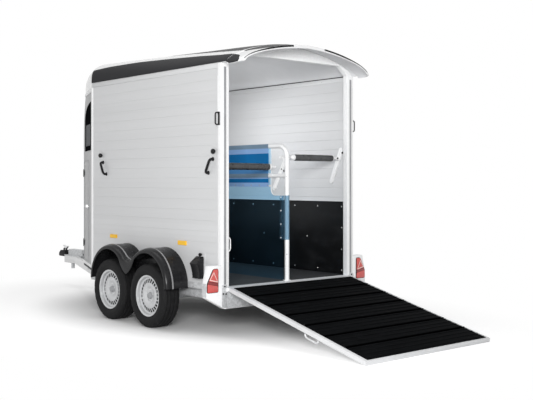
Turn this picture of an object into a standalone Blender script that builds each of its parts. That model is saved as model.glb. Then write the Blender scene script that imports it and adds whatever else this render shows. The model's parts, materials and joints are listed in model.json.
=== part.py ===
# Two-stall animal trailer with a lowered rear ramp, built as separate pieces.
# Metres, +Z up, +X towards the rear, -Y towards the trailer's left side.
# Pieces are laid out from the rear face of the body (x = 0) and from the ground (z = 0).
# The empty "trailer" shifts the whole layout so that the origin is under the middle of its length.

import bmesh
import bpy
from math import asin, atan2, cos, degrees, exp, hypot, pi, radians, sin
from mathutils import Vector

# Fits
GAP = 0.0003
RUNNING = 0.0008

# Body
BODY_WIDTH = 1.70
SIDE_LENGTH = 2.32
WALL = 0.025
WALL_TOP = 2.475
RAIL_HEIGHT = 0.045
FLOOR_TOP = 0.4458
FLOOR_THICKNESS = 0.023

# Nose: two slanted cheeks, rounded corners and a flat front that leans back near the roof
CHEEK_LENGTH = 0.70
CHEEK_INSET = 0.29
NOSE_LENGTH = 0.78
NOSE_FLAT = 0.90
NOSE_CORNER_STEPS = 5
NOSE_LEAN = 0.045
LEAN_START = 1.90
LEAN_STEPS = 4

# Roof
ROOF_SKIN = 0.020
ROOF_PROUD = 0.005
ROOF_RISE_REAR = 0.205
ROOF_RISE_FRONT = 0.265
ROOF_SLOPE_LENGTH = 0.27
ROOF_OVERHANG = 0.25
ROOF_LIP_DROP = 0.022
ROOF_LIP_START = 0.080
ROOF_TAIL_INSET = 0.050
ROOF_TAIL_LENGTH = 0.10
ROOF_TAIL_RAISE = 0.024
ROOF_HOOD_START = 0.23
ROOF_SECTION_POWER = 1.6
ROOF_HOOD_POWER = 4.0
ROOF_ARC_STEPS = 18
ROOF_BODY_STEPS = 7
ROOF_HOOD_STEPS = 6

# Rear frame
FRAME_DEPTH = 0.060
PILLAR_WIDTH = 0.085
HEADER_BOTTOM = 2.57
HEADER_CORNER = 0.105

# Chassis
SILL_BOTTOM = 0.315
SILL_WIDTH = 0.060
SILL_INSET = 0.050
SILL_NOSE_REACH = 0.110
CHASSIS_STEEL = 0.006
CROSSMEMBER_BOTTOM = 0.250
LAMP_BOX_WIDTH = 0.171
LAMP_BOX_TOP = 0.645
LAMP_BOX_SHOULDER = 0.495
LAMP_BOX_HIP = 0.363
LAMP_BOX_TOP_WIDTH = 0.134
LAMP_BOX_ROOT = 0.037

# Drawbar and coupling
DRAWBAR_FRONT = 4.36
DRAWBAR_KNEE = 4.08
DRAWBAR_SILL_LAP = 0.020
DRAWBAR_HEIGHT = 0.0875
DRAWBAR_WIDTH = 0.060
DRAWBAR_THROAT = 0.090
HOUSING_LENGTH = 0.36
HOUSING_LOW = 0.385
HOUSING_HIGH = 0.505
HOUSING_FLANGE = 0.012
SHAFT_HEIGHT = 0.445
SHAFT_RADIUS = 0.025
COUPLING_NOSE = 4.63
COUPLING_LENGTH = 0.17
COUPLING_WIDTH = 0.085
COUPLING_HIGH = 0.480
COUPLING_LOW = 0.400
COUPLING_TRAVEL = 0.070
BALL_RADIUS = 0.025
BALL_SETBACK = 0.045
LEVER_PIVOT_SETBACK = 0.100
LEVER_PIVOT_RADIUS = 0.006
LEVER_REACH = 0.075
LEVER_RISE = 0.050
LEVER_WIDTH = 0.030
BRAKE_PIVOT = 3.97
BRAKE_PIVOT_HEIGHT = 0.470
BRAKE_LENGTH = 0.150
BRAKE_TILT = 52.0
BRAKE_RADIUS = 0.011
PROP_RADIUS = 0.023
PROP_BORE = 0.019
PROP_SETBACK = 0.020
PROP_FOOT = 0.250

# Running gear
TYRE_RADIUS = 0.306
TYRE_WIDTH = 0.195
TYRE_CLEARANCE = 0.041
RIM_SEAT = 0.1885
RIM_FLANGE = 0.1985
RIM_HALF_WIDTH = 0.084
RIM_LIP = 0.0052
RIM_WALL = 0.0085
RIM_DISC = 0.007
RIM_DISC_FACE = 0.045
RIM_CROWN = 0.016
HUB_BORE = 0.030
WHEEL_STEPS = 32
AXLE_FRONT = 1.578
AXLE_SPACING = 0.700
AXLE_TUBE = 0.080
ARM_LENGTH = 0.155
ARM_THICKNESS = 0.030
ARM_PIN_RADIUS = 0.020
ARM_PIN_LENGTH = 0.060
ARM_EYE = 0.042
DRUM_RADIUS = 0.115
DRUM_START = 0.025
DRUM_CLEARANCE = 0.010

# Mudguards
GUARD_CLEARANCE = 0.059
GUARD_LIFT = 0.094
GUARD_VALLEY = 0.63
GUARD_FLAT = 0.170
GUARD_SHOULDER = 0.075
GUARD_SHEET = 0.004
GUARD_SKIRT = 0.050
GUARD_TIP = 0.486
GUARD_ARC_STEPS = 12
GUARD_VALLEY_STEPS = 6

# Lamps
LAMP_THICKNESS = 0.012
LAMP_INNER = 0.040
LAMP_BASE = 0.128
LAMP_CROWN = 0.059
LAMP_LOW = 0.406
LAMP_HIGH = 0.621
LAMP_CHEEK = 0.490
LAMP_ROUND = 0.016

# Ramp
RAMP_LENGTH = 1.735
RAMP_THICKNESS = 0.035
RAMP_SIDE_MARGIN = 0.060
RAMP_TOE = 0.010
RAMP_HINGE_HEIGHT = 0.428
RAMP_HINGE_SETBACK = 0.0225
RAMP_PIN_RADIUS = 0.007
RAMP_PIN_LENGTH = 0.050
RAMP_EAR = 0.010
RAMP_EAR_CLEARANCE = 0.0006
MAT_MARGIN = 0.035
MAT_START = 0.030
MAT_END = 0.020
MAT_SHEET = 0.004
MAT_FIELDS = 7
RIBS_PER_FIELD = 4
RIB_HEIGHT = 0.008
RIB_WIDTH = 0.016
GRIP_DISTANCE = 1.02
GRIP_LENGTH = 0.16
GRIP_DROP = 0.045
GRIP_RADIUS = 0.008
GRIP_INSET = 0.030

# Stalls
STALL_SHIFT = 0.0565
KICK_HEIGHT = 0.749
KICK_THICKNESS = 0.012
POST_SETBACK = 0.066
POST_RADIUS = 0.0225
PARTITION_TOP = 1.7495
PARTITION_MID = 1.460
PARTITION_CORNER = 0.110
BEND_STEPS = 6
SHEET = 0.003
PANEL_SETBACK = 0.274
PANEL_HEM = 1.350
PANEL_HIGH = 1.772
CURTAIN_HIGH = 1.268
CURTAIN_CORNER = 0.060
CORNER_STEPS = 4
SLEEVE_LOW = 0.840
SLEEVE_REACH = 0.026
CURTAIN_LOW_CLEARANCE = 0.006

# Stall bars and their slotted brackets
BRACKET_SETBACK = 0.143
BRACKET_HIGH = 1.727
BRACKET_RUN = 0.139
BRACKET_DROP = 0.321
BRACKET_WIDTH = 0.050
BRACKET_PLATE = 0.012
PLATE_SETBACK = 0.079
PLATE_HIGH = 1.628
PLATE_RUN = 0.177
PLATE_DROP = 0.290
PLATE_WIDTH = 0.046
PLATE_THICKNESS = 0.006
NOTCH_HIGH = 0.27
NOTCH_LOW = 0.567
BAR_RADIUS = 0.0325
BAR_PAD_STOPS = {"left": 0.057, "right": 0.150}
BAR_END_CLEARANCE = 0.009
BAR_NECK = 0.014
EYE_RADIUS = 0.017
EYE_WIDTH = 0.028
EYE_REACH = 0.030
EAR_THICKNESS = 0.008
BAR_PIN_RADIUS = 0.006

# Nose door and windows
DOOR_START = 0.273
DOOR_WIDTH = 0.447
DOOR_LOW = 0.500
DOOR_HIGH = 1.635
DOOR_CLEARANCE = 0.003
DOOR_PIVOT_PROUD = 0.006
LATCH_INSET = 0.045
LATCH_HEIGHT = 1.120
LATCH_RADIUS = 0.025
LATCH_THICKNESS = 0.012
LATCH_LENGTH = 0.100
WINDOW_START = 0.090
WINDOW_WIDTH = 0.516
WINDOW_HEAD = 0.200
WINDOW_HEIGHT = 0.515
WINDOW_CROWN = 0.185
WINDOW_PANE = 0.008
WINDOW_ARC_STEPS = 6

# Side fittings
LOOP_RADIUS = 0.010
LOOP_STANDOFF = 0.040
LOOP_SETBACK = 0.128
LOOP_HIGH = 1.607
LOOP_RUN = 0.068
LOOP_DROP = 0.125
LATCH_ROD = 0.006
BAIL_HIGH = 2.025
BAIL_LOW = 1.917
BAIL_REACH = 0.040
BAIL_SETBACK = 0.030
BAIL_POST = 0.009
CHOCK_REAR = 0.265
CHOCK_WIDTH = 0.117
CHOCK_LOW = 0.506
CHOCK_HIGH = 0.710
CHOCK_REACH = 0.082
CHOCK_FOOT = 0.050
CHOCK_SLOPE = 0.063
CHOCK_HOLLOW = 0.018
CHOCK_ARC_STEPS = 5

# Worked-out values
HALF = BODY_WIDTH / 2
INNER = HALF - WALL
FLOOR_LOW = FLOOR_TOP - FLOOR_THICKNESS
WALL_LOW = FLOOR_TOP + GAP
CHASSIS_TOP = FLOOR_LOW - GAP
SEAM = WALL_TOP - RAIL_HEIGHT
NOSE_FRONT = SIDE_LENGTH + NOSE_LENGTH
OPENING = HALF - PILLAR_WIDTH
AXLE_HEIGHT = TYRE_RADIUS
AXLE_REAR = AXLE_FRONT - AXLE_SPACING
WHEEL_CENTRE = HALF + TYRE_CLEARANCE + TYRE_WIDTH / 2
SILL_OUTER = HALF - SILL_INSET
SILL_INNER = SILL_OUTER - SILL_WIDTH
SILL_FRONT = SIDE_LENGTH + SILL_NOSE_REACH
DRAWBAR_REAR = SILL_FRONT + DRAWBAR_SILL_LAP
WINDOW_HIGH = WALL_TOP - WINDOW_HEAD
WINDOW_LOW = WINDOW_HIGH - WINDOW_HEIGHT
WINDOW_SHOULDER = WINDOW_HIGH - WINDOW_CROWN
PIVOT_HEIGHT = SILL_BOTTOM - GAP - AXLE_TUBE / 2
RAMP_HALF = HALF - RAMP_SIDE_MARGIN
RAMP_REACH = hypot(RAMP_LENGTH, RAMP_THICKNESS / 2)
RAMP_SLOPE = asin(RAMP_HINGE_HEIGHT / RAMP_REACH) - atan2(RAMP_THICKNESS / 2, RAMP_LENGTH)
RAMP_FOOT = RAMP_HINGE_SETBACK + RAMP_LENGTH * cos(RAMP_SLOPE) + RAMP_THICKNESS / 2 * sin(RAMP_SLOPE)
ORIGIN_SHIFT = (COUPLING_NOSE - RAMP_FOOT) / 2
MIDDLE = SIDE_LENGTH / 2 - STALL_SHIFT
CHEEK_ANGLE = atan2(CHEEK_INSET, CHEEK_LENGTH)
SIDES = (("left", -1), ("right", 1))

for old in list(bpy.data.objects):
    bpy.data.objects.remove(old)
parts = bpy.data.collections.new("animal_trailer")
guides = bpy.data.collections.new("guides")
for group in (parts, guides):
    bpy.context.scene.collection.children.link(group)


def material(name, colour, roughness, metallic=0.0):
    made = bpy.data.materials.new(name)
    made.use_nodes = True
    shader = made.node_tree.nodes["Principled BSDF"]
    shader.inputs["Base Color"].default_value = (*colour, 1.0)
    shader.inputs["Roughness"].default_value = roughness
    shader.inputs["Metallic"].default_value = metallic
    return made


GALVANISED = material("galvanised", (0.70, 0.71, 0.72), 0.45, 0.8)
PANEL = material("silver_panel", (0.62, 0.63, 0.64), 0.40, 0.3)
WHITE = material("white_shell", (0.86, 0.86, 0.86), 0.30)
CHARCOAL = material("charcoal_plastic", (0.030, 0.030, 0.032), 0.35)
RUBBER = material("black_rubber", (0.012, 0.012, 0.013), 0.75)
TYRE = material("tyre_rubber", (0.020, 0.020, 0.021), 0.80)
SILVER = material("silver_wheel", (0.66, 0.67, 0.68), 0.35, 0.7)
BOARD = material("black_board", (0.015, 0.015, 0.016), 0.60)
RAMP = material("ramp_panel", (0.66, 0.67, 0.68), 0.40, 0.5)
DEEP_BLUE = material("deep_blue", (0.010, 0.115, 0.330), 0.45)
PALE_BLUE = material("pale_blue", (0.240, 0.460, 0.640), 0.30)
GLASS = material("smoked_glass", (0.015, 0.016, 0.018), 0.10)
LAMP_RED = material("lamp_red", (0.58, 0.06, 0.05), 0.20)


def adopt(obj, name, finish, parent, group=parts):
    obj.name = name
    group.objects.link(obj)
    obj.parent = parent
    if finish:
        obj.data.materials.append(finish)
    return obj


def empty(name, location, rotation=(0.0, 0.0, 0.0), parent=None):
    made = bpy.data.objects.new(name, None)
    parts.objects.link(made)
    made.parent = parent
    made.location = location
    made.rotation_euler = rotation
    return made


trailer = empty("trailer", (ORIGIN_SHIFT, 0.0, 0.0))


def mesh_object(name, shape, finish, parent, group=parts):
    mesh = bpy.data.meshes.new(name)
    bmesh.ops.recalc_face_normals(shape, faces=shape.faces)
    shape.to_mesh(mesh)
    shape.free()
    return adopt(bpy.data.objects.new(name, mesh), name, finish, parent, group)


def bevel(obj, width, segments=2):
    modifier = obj.modifiers.new("round", "BEVEL")
    modifier.width = width
    modifier.segments = segments
    return obj


# A block between two corners, with its own origin in its middle
def block(name, low, high, finish, parent=trailer, group=parts):
    size = Vector(high) - Vector(low)
    shape = bmesh.new()
    bmesh.ops.create_cube(shape, size=1.0)
    bmesh.ops.scale(shape, vec=size, verts=shape.verts)
    made = mesh_object(name, shape, finish, parent, group)
    made.location = (Vector(high) + Vector(low)) / 2
    return made


TURNS = {"xz": (pi / 2, 0.0, 0.0), "yz": (pi / 2, 0.0, pi / 2), "xy": (0.0, 0.0, 0.0)}


# A flat outline in one plane, with any holes, thickened between two levels across that plane
def outline(name, loops, plane, low, high, finish, parent=trailer, group=parts):
    curve = bpy.data.curves.new(name, "CURVE")
    curve.dimensions = "2D"
    curve.fill_mode = "BOTH"
    curve.extrude = abs(high - low) / 2
    for loop in loops:
        spline = curve.splines.new("POLY")
        spline.points.add(len(loop) - 1)
        for point, (a, b) in zip(spline.points, loop):
            point.co = (a, b, 0.0, 1.0)
        spline.use_cyclic_u = True
    made = adopt(bpy.data.objects.new(name, curve), name, finish, parent, group)
    made.rotation_euler = TURNS[plane]
    middle = (low + high) / 2
    made.location = {"xz": (0, middle, 0), "yz": (middle, 0, 0), "xy": (0, 0, middle)}[plane]
    return made


# A round tube or rod along a route
def rod(name, route, radius, finish, parent=trailer, detail=2, group=parts):
    curve = bpy.data.curves.new(name, "CURVE")
    curve.dimensions = "3D"
    curve.bevel_depth = radius
    curve.bevel_resolution = detail
    curve.use_fill_caps = True
    spline = curve.splines.new("POLY")
    spline.points.add(len(route) - 1)
    for point, place in zip(spline.points, route):
        point.co = (*place, 1.0)
    return adopt(bpy.data.objects.new(name, curve), name, finish, parent, group)


# A round bar between two points
def bar(name, start, end, radius, finish, parent=trailer, sides=24, group=parts):
    start = Vector(start)
    along = Vector(end) - start
    shape = bmesh.new()
    bmesh.ops.create_cone(
        shape, cap_ends=True, segments=sides, radius1=radius, radius2=radius, depth=along.length
    )
    made = mesh_object(name, shape, finish, parent, group)
    made.location = start + along / 2
    made.rotation_euler = along.to_track_quat("Z", "Y").to_euler()
    return made


# A closed profile of (radius, height) points turned about the object's own Z axis
def turned(name, profile, finish, parent, rotation=(0.0, 0.0, 0.0), steps=WHEEL_STEPS, group=parts):
    mesh = bpy.data.meshes.new(name)
    count = len(profile)
    edges = [(i, (i + 1) % count) for i in range(count)]
    mesh.from_pydata([(r, 0.0, z) for r, z in profile], edges, [])
    made = adopt(bpy.data.objects.new(name, mesh), name, finish, parent, group)
    screw = made.modifiers.new("turn", "SCREW")
    screw.steps = steps
    screw.render_steps = steps
    screw.use_merge_vertices = True
    screw.merge_threshold = 0.00001
    made.rotation_euler = rotation
    return made


# A thin loft: rows of outer points and matching rows of inner points, closed along all four rims
def loft(name, outer, inner, finish, parent=trailer):
    shape = bmesh.new()
    skins = [[[shape.verts.new(p) for p in row] for row in rows] for rows in (outer, inner)]
    rows = len(outer)
    columns = len(outer[0])
    for skin in skins:
        for i in range(rows - 1):
            for j in range(columns - 1):
                shape.faces.new((skin[i][j], skin[i][j + 1], skin[i + 1][j + 1], skin[i + 1][j]))
    out, back = skins
    for i in (0, rows - 1):
        for j in range(columns - 1):
            shape.faces.new((out[i][j], out[i][j + 1], back[i][j + 1], back[i][j]))
    for j in (0, columns - 1):
        for i in range(rows - 1):
            shape.faces.new((out[i][j], out[i + 1][j], back[i + 1][j], back[i][j]))
    return mesh_object(name, shape, finish, parent)


# The evaluated shape as a plain mesh object in the same place, with doubled points merged
def as_mesh(obj):
    name = obj.name
    seen = obj.evaluated_get(bpy.context.evaluated_depsgraph_get())
    mesh = bpy.data.meshes.new_from_object(seen)
    shape = bmesh.new()
    shape.from_mesh(mesh)
    bmesh.ops.remove_doubles(shape, verts=shape.verts, dist=0.00001)
    bmesh.ops.recalc_face_normals(shape, faces=shape.faces)
    shape.to_mesh(mesh)
    shape.free()
    solid = bpy.data.objects.new(name, mesh)
    for group in list(obj.users_collection):
        group.objects.link(solid)
    solid.parent = obj.parent
    solid.location = obj.location
    solid.rotation_euler = obj.rotation_euler
    bpy.data.objects.remove(obj)
    solid.name = name
    return solid


def combine(obj, others, operation):
    for other in others:
        other.hide_render = True
        other.display_type = "WIRE"
        modifier = obj.modifiers.new(operation.lower(), "BOOLEAN")
        modifier.operation = operation
        modifier.object = other
    return obj


def weld_on(obj, *others):
    return combine(obj, others, "UNION")


def cut_out(obj, *others):
    return combine(obj, others, "DIFFERENCE")


def smooth(obj, angle=35.0):
    obj.data.shade_smooth()
    obj.data.set_sharp_from_angle(angle=radians(angle))
    return obj


def arc(centre, radius, start, end, steps):
    points = []
    for i in range(steps + 1):
        turn = radians(start + (end - start) * i / steps)
        points.append((centre[0] + radius * cos(turn), centre[1] + radius * sin(turn)))
    return points


# An outline with every corner rounded by the same radius
def rounded(corners, radius, steps=3):
    points = []
    count = len(corners)
    for i in range(count):
        before, here, after = (Vector(corners[(i + k) % count]) for k in (-1, 0, 1))
        to_before = (before - here).normalized()
        to_after = (after - here).normalized()
        cut = radius / max(0.2, (to_before - to_after).length / 2) * (1 + to_before.dot(to_after)) ** 0.5
        cut = min(cut, (before - here).length * 0.45, (after - here).length * 0.45)
        start = here + to_before * cut
        end = here + to_after * cut
        for k in range(steps + 1):
            t = k / steps
            points.append(tuple(start * (1 - t) ** 2 + here * 2 * t * (1 - t) + end * t * t))
    return points


# A capsule outline between two points
def capsule(start, end, radius, steps=6):
    lean = degrees(atan2(end[1] - start[1], end[0] - start[0]))
    return arc(end, radius, lean - 90, lean + 90, steps) + arc(start, radius, lean + 90, lean + 270, steps)


# A tab outline: square where it starts, round where it ends
def tab(start, end, radius, steps=8):
    lean = atan2(end[1] - start[1], end[0] - start[0])
    off = (-sin(lean) * radius, cos(lean) * radius)
    square = [(start[0] + off[0], start[1] + off[1]), (start[0] - off[0], start[1] - off[1])]
    return square + arc(end, radius, degrees(lean) - 90, degrees(lean) + 90, steps)


def mirror_points(points, side):
    return [(a, side * b) for a, b in points]


# Body

def nose_lean(height):
    share = max(0.0, (height - LEAN_START) / (SEAM - LEAN_START))
    return NOSE_LEAN * share ** 2


# Outer plan of the nose at one height, from its left rear corner round to its right rear corner
def nose_plan(height):
    lean = nose_lean(height)
    front = -NOSE_FRONT + lean
    start = Vector((-SIDE_LENGTH, -HALF))
    cheek = Vector((-SIDE_LENGTH - CHEEK_LENGTH + lean, -HALF + CHEEK_INSET))
    flat = Vector((front, -NOSE_FLAT / 2))
    reach = (front - cheek.x) / (cheek.x - start.x)
    corner = cheek + (cheek - start) * reach
    half = [tuple(start)]
    for k in range(NOSE_CORNER_STEPS + 1):
        t = k / NOSE_CORNER_STEPS
        half.append(tuple(cheek * (1 - t) ** 2 + corner * 2 * t * (1 - t) + flat * t * t))
    return half + [(x, -y) for x, y in reversed(half)]


# The same plan moved in by a wall thickness, with its ends kept on the same cross-plane
def inset_plan(plan, thickness):
    lines = []
    for (ax, ay), (bx, by) in zip(plan, plan[1:]):
        along = Vector((bx - ax, by - ay)).normalized()
        inward = Vector((-along.y, along.x)) * -thickness
        lines.append((Vector((ax, ay)) + inward, along))
    inset = []
    for i in range(len(plan)):
        if i == 0 or i == len(plan) - 1:
            point, along = lines[0 if i == 0 else -1]
            reach = (plan[i][0] - point.x) / along.x
            inset.append(tuple(point + along * reach))
            continue
        (point, along), (other, other_along) = lines[i - 1], lines[i]
        cross = along.x * other_along.y - along.y * other_along.x
        away = other - point
        reach = (away.x * other_along.y - away.y * other_along.x) / cross
        inset.append(tuple(point + along * reach))
    return inset


# The crown climbs quickly from the tail and levels off towards the nose
def roof_rise(x):
    level = 1 - exp((x - ROOF_OVERHANG) / ROOF_SLOPE_LENGTH)
    return ROOF_RISE_REAR + (ROOF_RISE_FRONT - ROOF_RISE_REAR) * level


# The section is a plain arch at the tail and grows squarer towards the nose
def roof_power(x):
    t = min(1.0, max(0.0, -x / (SIDE_LENGTH + ROOF_HOOD_START)))
    return ROOF_SECTION_POWER + (ROOF_HOOD_POWER - ROOF_SECTION_POWER) * t ** 2


# Half width of the nose plan at the seam, at one x
def nose_half(x):
    plan = [p for p in nose_plan(SEAM) if p[1] <= 0]
    for (ax, ay), (bx, by) in zip(plan, plan[1:]):
        if bx <= x <= ax and ax > bx:
            return -(ay + (by - ay) * (ax - x) / (ax - bx))
    return NOSE_FLAT / 2


# One arch of the roof: a superellipse from the left eave over the crown to the right eave
def roof_arch(x, half, eave, crown, power):
    points = []
    for k in range(ROOF_ARC_STEPS + 1):
        turn = pi * k / ROOF_ARC_STEPS
        across = abs(cos(turn)) ** (2 / power) * (-1 if cos(turn) > 0 else 1)
        points.append((x, half * across, eave + (crown - eave) * abs(sin(turn)) ** (2 / power)))
    return points


def make_roof():
    half = HALF + ROOF_PROUD
    eave = WALL_TOP + GAP
    outer, inner = [], []

    def station(x, width, low, crown, power, inner_x, inner_width, inner_crown):
        outer.append(roof_arch(x, width, low, crown, power))
        inner.append(roof_arch(inner_x, inner_width, low, inner_crown, power))

    tail_steps = 3
    for k in range(tail_steps + 1):
        turn = pi / 2 * k / tail_steps
        x = ROOF_OVERHANG - ROOF_TAIL_LENGTH * (1 - cos(turn))
        share = 1 - sin(turn)
        width = half - ROOF_TAIL_INSET * share
        low = WALL_TOP - ROOF_LIP_DROP + ROOF_TAIL_RAISE * share
        crown = WALL_TOP + roof_rise(x)
        station(x, width, low, crown, roof_power(x), x, width - ROOF_SKIN, crown - ROOF_SKIN)
    body = [ROOF_LIP_START * 2, ROOF_LIP_START / 2]
    for k in range(ROOF_BODY_STEPS + 1):
        body.append(-(SIDE_LENGTH - GAP) * k / ROOF_BODY_STEPS)
    for x in body:
        low = WALL_TOP - ROOF_LIP_DROP if x > ROOF_LIP_START else eave
        crown = WALL_TOP + roof_rise(x)
        station(x, half, low, crown, roof_power(x), x, half - ROOF_SKIN, crown - ROOF_SKIN)
    start = -SIDE_LENGTH - ROOF_HOOD_START
    end = nose_plan(SEAM)[len(nose_plan(SEAM)) // 2][0]
    hood = [(-SIDE_LENGTH - RUNNING * 4, 1.0)]
    for k in range(ROOF_HOOD_STEPS + 1):
        turn = pi / 2 * k / ROOF_HOOD_STEPS
        share = sin(turn) ** (2 / ROOF_HOOD_POWER)
        hood.append((start + (end - start) * share, max(0.0, cos(turn)) ** (2 / ROOF_HOOD_POWER)))
    low = SEAM + GAP
    for x, height in hood:
        inner_x = x
        if x < start:
            inner_x = start + (x - start) * (end + ROOF_SKIN - start) / (end - start)
        crown = low + (WALL_TOP + roof_rise(x) - low) * height
        inner_crown = low + (WALL_TOP + roof_rise(x) - ROOF_SKIN - low) * height
        width = nose_half(x)
        station(x, width, low, crown, roof_power(x), inner_x, nose_half(inner_x) - ROOF_SKIN, inner_crown)
    return smooth(loft("roof", outer, inner, WHITE))


# A straight-sided opening or panel in the left or right cheek, given along the cheek and in height
def cheek_frame(name, side, along=0.0, proud=0.0, height=0.0):
    x = -SIDE_LENGTH - along * cos(CHEEK_ANGLE) - proud * sin(CHEEK_ANGLE)
    y = side * (HALF - along * sin(CHEEK_ANGLE) + proud * cos(CHEEK_ANGLE))
    return empty(name, (x, y, height), (0.0, 0.0, side * CHEEK_ANGLE), trailer)


# Outline of a cheek window in (minus distance along the cheek, height), grown by a margin
def window_loop(margin):
    rear = -WINDOW_START + margin
    front = -WINDOW_START - WINDOW_WIDTH - margin
    low = WINDOW_LOW - margin
    high = WINDOW_HIGH + margin
    shoulder = WINDOW_SHOULDER + margin
    loop = [(rear, low), (rear, high)]
    for k in range(1, WINDOW_ARC_STEPS + 1):
        turn = pi / 2 * k / WINDOW_ARC_STEPS
        loop.append((rear + (front - rear) * sin(turn), shoulder + (high - shoulder) * cos(turn)))
    return loop + [(front, low)]


def make_nose():
    levels = [WALL_LOW] + [LEAN_START + (SEAM - LEAN_START) * k / LEAN_STEPS for k in range(LEAN_STEPS + 1)]
    outer, inner = [], []
    for level in levels:
        plan = nose_plan(level)
        outer.append([(x, y, level) for x, y in plan])
        inner.append([(x, y, level) for x, y in inset_plan(plan, WALL)])
    nose = loft("nose_shell", outer, inner, PANEL)
    cutters = []
    for label, side in SIDES:
        frame = cheek_frame(f"cheek_{label}", side)
        hole = outline(
            f"window_hole_{label}", [window_loop(RUNNING)], "xz", -3 * WALL, 3 * WALL, None, frame, guides
        )
        cutters.append(as_mesh(hole))
        deep = (-WINDOW_PANE, 0.0) if side > 0 else (0.0, WINDOW_PANE)
        outline(f"window_{label}", [window_loop(0.0)], "xz", *deep, GLASS, frame)
        if side < 0:
            low = (-DOOR_START - DOOR_WIDTH - RUNNING, -3 * WALL, DOOR_LOW - DOOR_CLEARANCE)
            high = (-DOOR_START + DOOR_CLEARANCE, 3 * WALL, DOOR_HIGH + DOOR_CLEARANCE)
            cutters.append(block("door_hole", low, high, None, frame, guides))
    return cut_out(nose, *cutters)


def make_entry_door():
    along = DOOR_START + DOOR_WIDTH
    hinge = cheek_frame("entry_door_hinge", -1, along, DOOR_PIVOT_PROUD)
    low = (0.0, DOOR_PIVOT_PROUD, DOOR_LOW)
    high = (DOOR_WIDTH, DOOR_PIVOT_PROUD + WALL, DOOR_HIGH)
    block("entry_door", low, high, PANEL, hinge)
    place = (DOOR_WIDTH - LATCH_INSET, DOOR_PIVOT_PROUD - GAP, LATCH_HEIGHT)
    spindle = empty("latch_spindle", place, parent=hinge)
    thick = LATCH_THICKNESS
    rose = bar("entry_door_latch", (0, 0, 0), (0, -thick, 0), LATCH_RADIUS, CHARCOAL, spindle)
    grip = block(
        "latch_grip",
        (-LATCH_LENGTH, -2 * thick, -thick),
        (thick, -thick / 2, thick),
        None,
        spindle,
        guides,
    )
    weld_on(rose, grip)


def make_walls():
    for label, side in SIDES:
        across = sorted((side * HALF, side * INNER))
        low = (-SIDE_LENGTH + GAP, across[0], WALL_LOW)
        high = (-FRAME_DEPTH - GAP, across[1], WALL_TOP)
        block(f"side_wall_{label}", low, high, PANEL)
        inner = sorted((side * (INNER - GAP), side * (INNER - GAP - KICK_THICKNESS)))
        low = (-SIDE_LENGTH + GAP, inner[0], WALL_LOW)
        high = (-FRAME_DEPTH - GAP, inner[1], WALL_LOW + KICK_HEIGHT)
        block(f"kick_board_{label}", low, high, BOARD)


def make_floor():
    rear = -FRAME_DEPTH - GAP
    plan = [(rear, HALF), (rear, -HALF)] + nose_plan(FLOOR_TOP)
    outline("floor_board", [plan], "xy", FLOOR_LOW, FLOOR_TOP, RUBBER)


def make_rear_frame():
    width = HALF + ROOF_PROUD - ROOF_SKIN - RUNNING
    rise = roof_rise(0.0) - ROOF_SKIN - RUNNING
    arch = [(y, z) for x, y, z in roof_arch(0.0, width, WALL_TOP, WALL_TOP + rise, ROOF_SECTION_POWER)]
    legs = [
        (OPENING - HEADER_CORNER, HEADER_BOTTOM),
        (OPENING, WALL_TOP),
        (OPENING, WALL_LOW),
        (HALF, WALL_LOW),
    ]
    legs.append((HALF, WALL_TOP))
    loop = arch + list(reversed(legs)) + [(-y, z) for y, z in legs]
    outline("rear_frame", [loop], "yz", -FRAME_DEPTH, 0.0, GALVANISED)


# Chassis

def make_crossmember():
    outer = HALF + LAMP_BOX_WIDTH
    inner = HALF + RUNNING
    half = [
        (HALF - LAMP_BOX_ROOT, CROSSMEMBER_BOTTOM),
        (outer, LAMP_BOX_HIP),
        (outer, LAMP_BOX_SHOULDER),
        (inner + LAMP_BOX_TOP_WIDTH, LAMP_BOX_TOP),
        (inner, LAMP_BOX_TOP),
        (inner, FLOOR_TOP),
    ]
    loop = half + [(-y, z) for y, z in reversed(half)]
    beam = as_mesh(outline("rear_crossmember", [loop], "yz", -FRAME_DEPTH, 0.0, GALVANISED))
    added = []
    for label, side in SIDES:
        near = RAMP_HALF + RAMP_EAR_CLEARANCE
        deep = sorted((side * near, side * (near + RAMP_EAR)))
        shape = capsule(
            (-FRAME_DEPTH / 2, RAMP_HINGE_HEIGHT - RAMP_THICKNESS / 2),
            (RAMP_HINGE_SETBACK, RAMP_HINGE_HEIGHT),
            RAMP_THICKNESS / 2 - RUNNING,
        )
        ear = outline(f"ramp_ear_{label}", [shape], "xz", *deep, None, trailer, guides)
        added.append(as_mesh(ear))
        pin_end = side * (near + RAMP_EAR / 2)
        pin_tip = side * (RAMP_HALF - RAMP_PIN_LENGTH)
        axis = (RAMP_HINGE_SETBACK, RAMP_HINGE_HEIGHT)
        start = (axis[0], pin_end, axis[1])
        end = (axis[0], pin_tip, axis[1])
        added.append(bar(f"ramp_pin_{label}", start, end, RAMP_PIN_RADIUS, None, trailer, 16, guides))
    weld_on(beam, *added)


def make_sills():
    for label, side in SIDES:
        across = sorted((side * SILL_OUTER, side * SILL_INNER))
        low = (-SILL_FRONT, across[0], SILL_BOTTOM)
        high = (-FRAME_DEPTH - GAP, across[1], CHASSIS_TOP)
        block(f"sill_{label}", low, high, GALVANISED)


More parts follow.
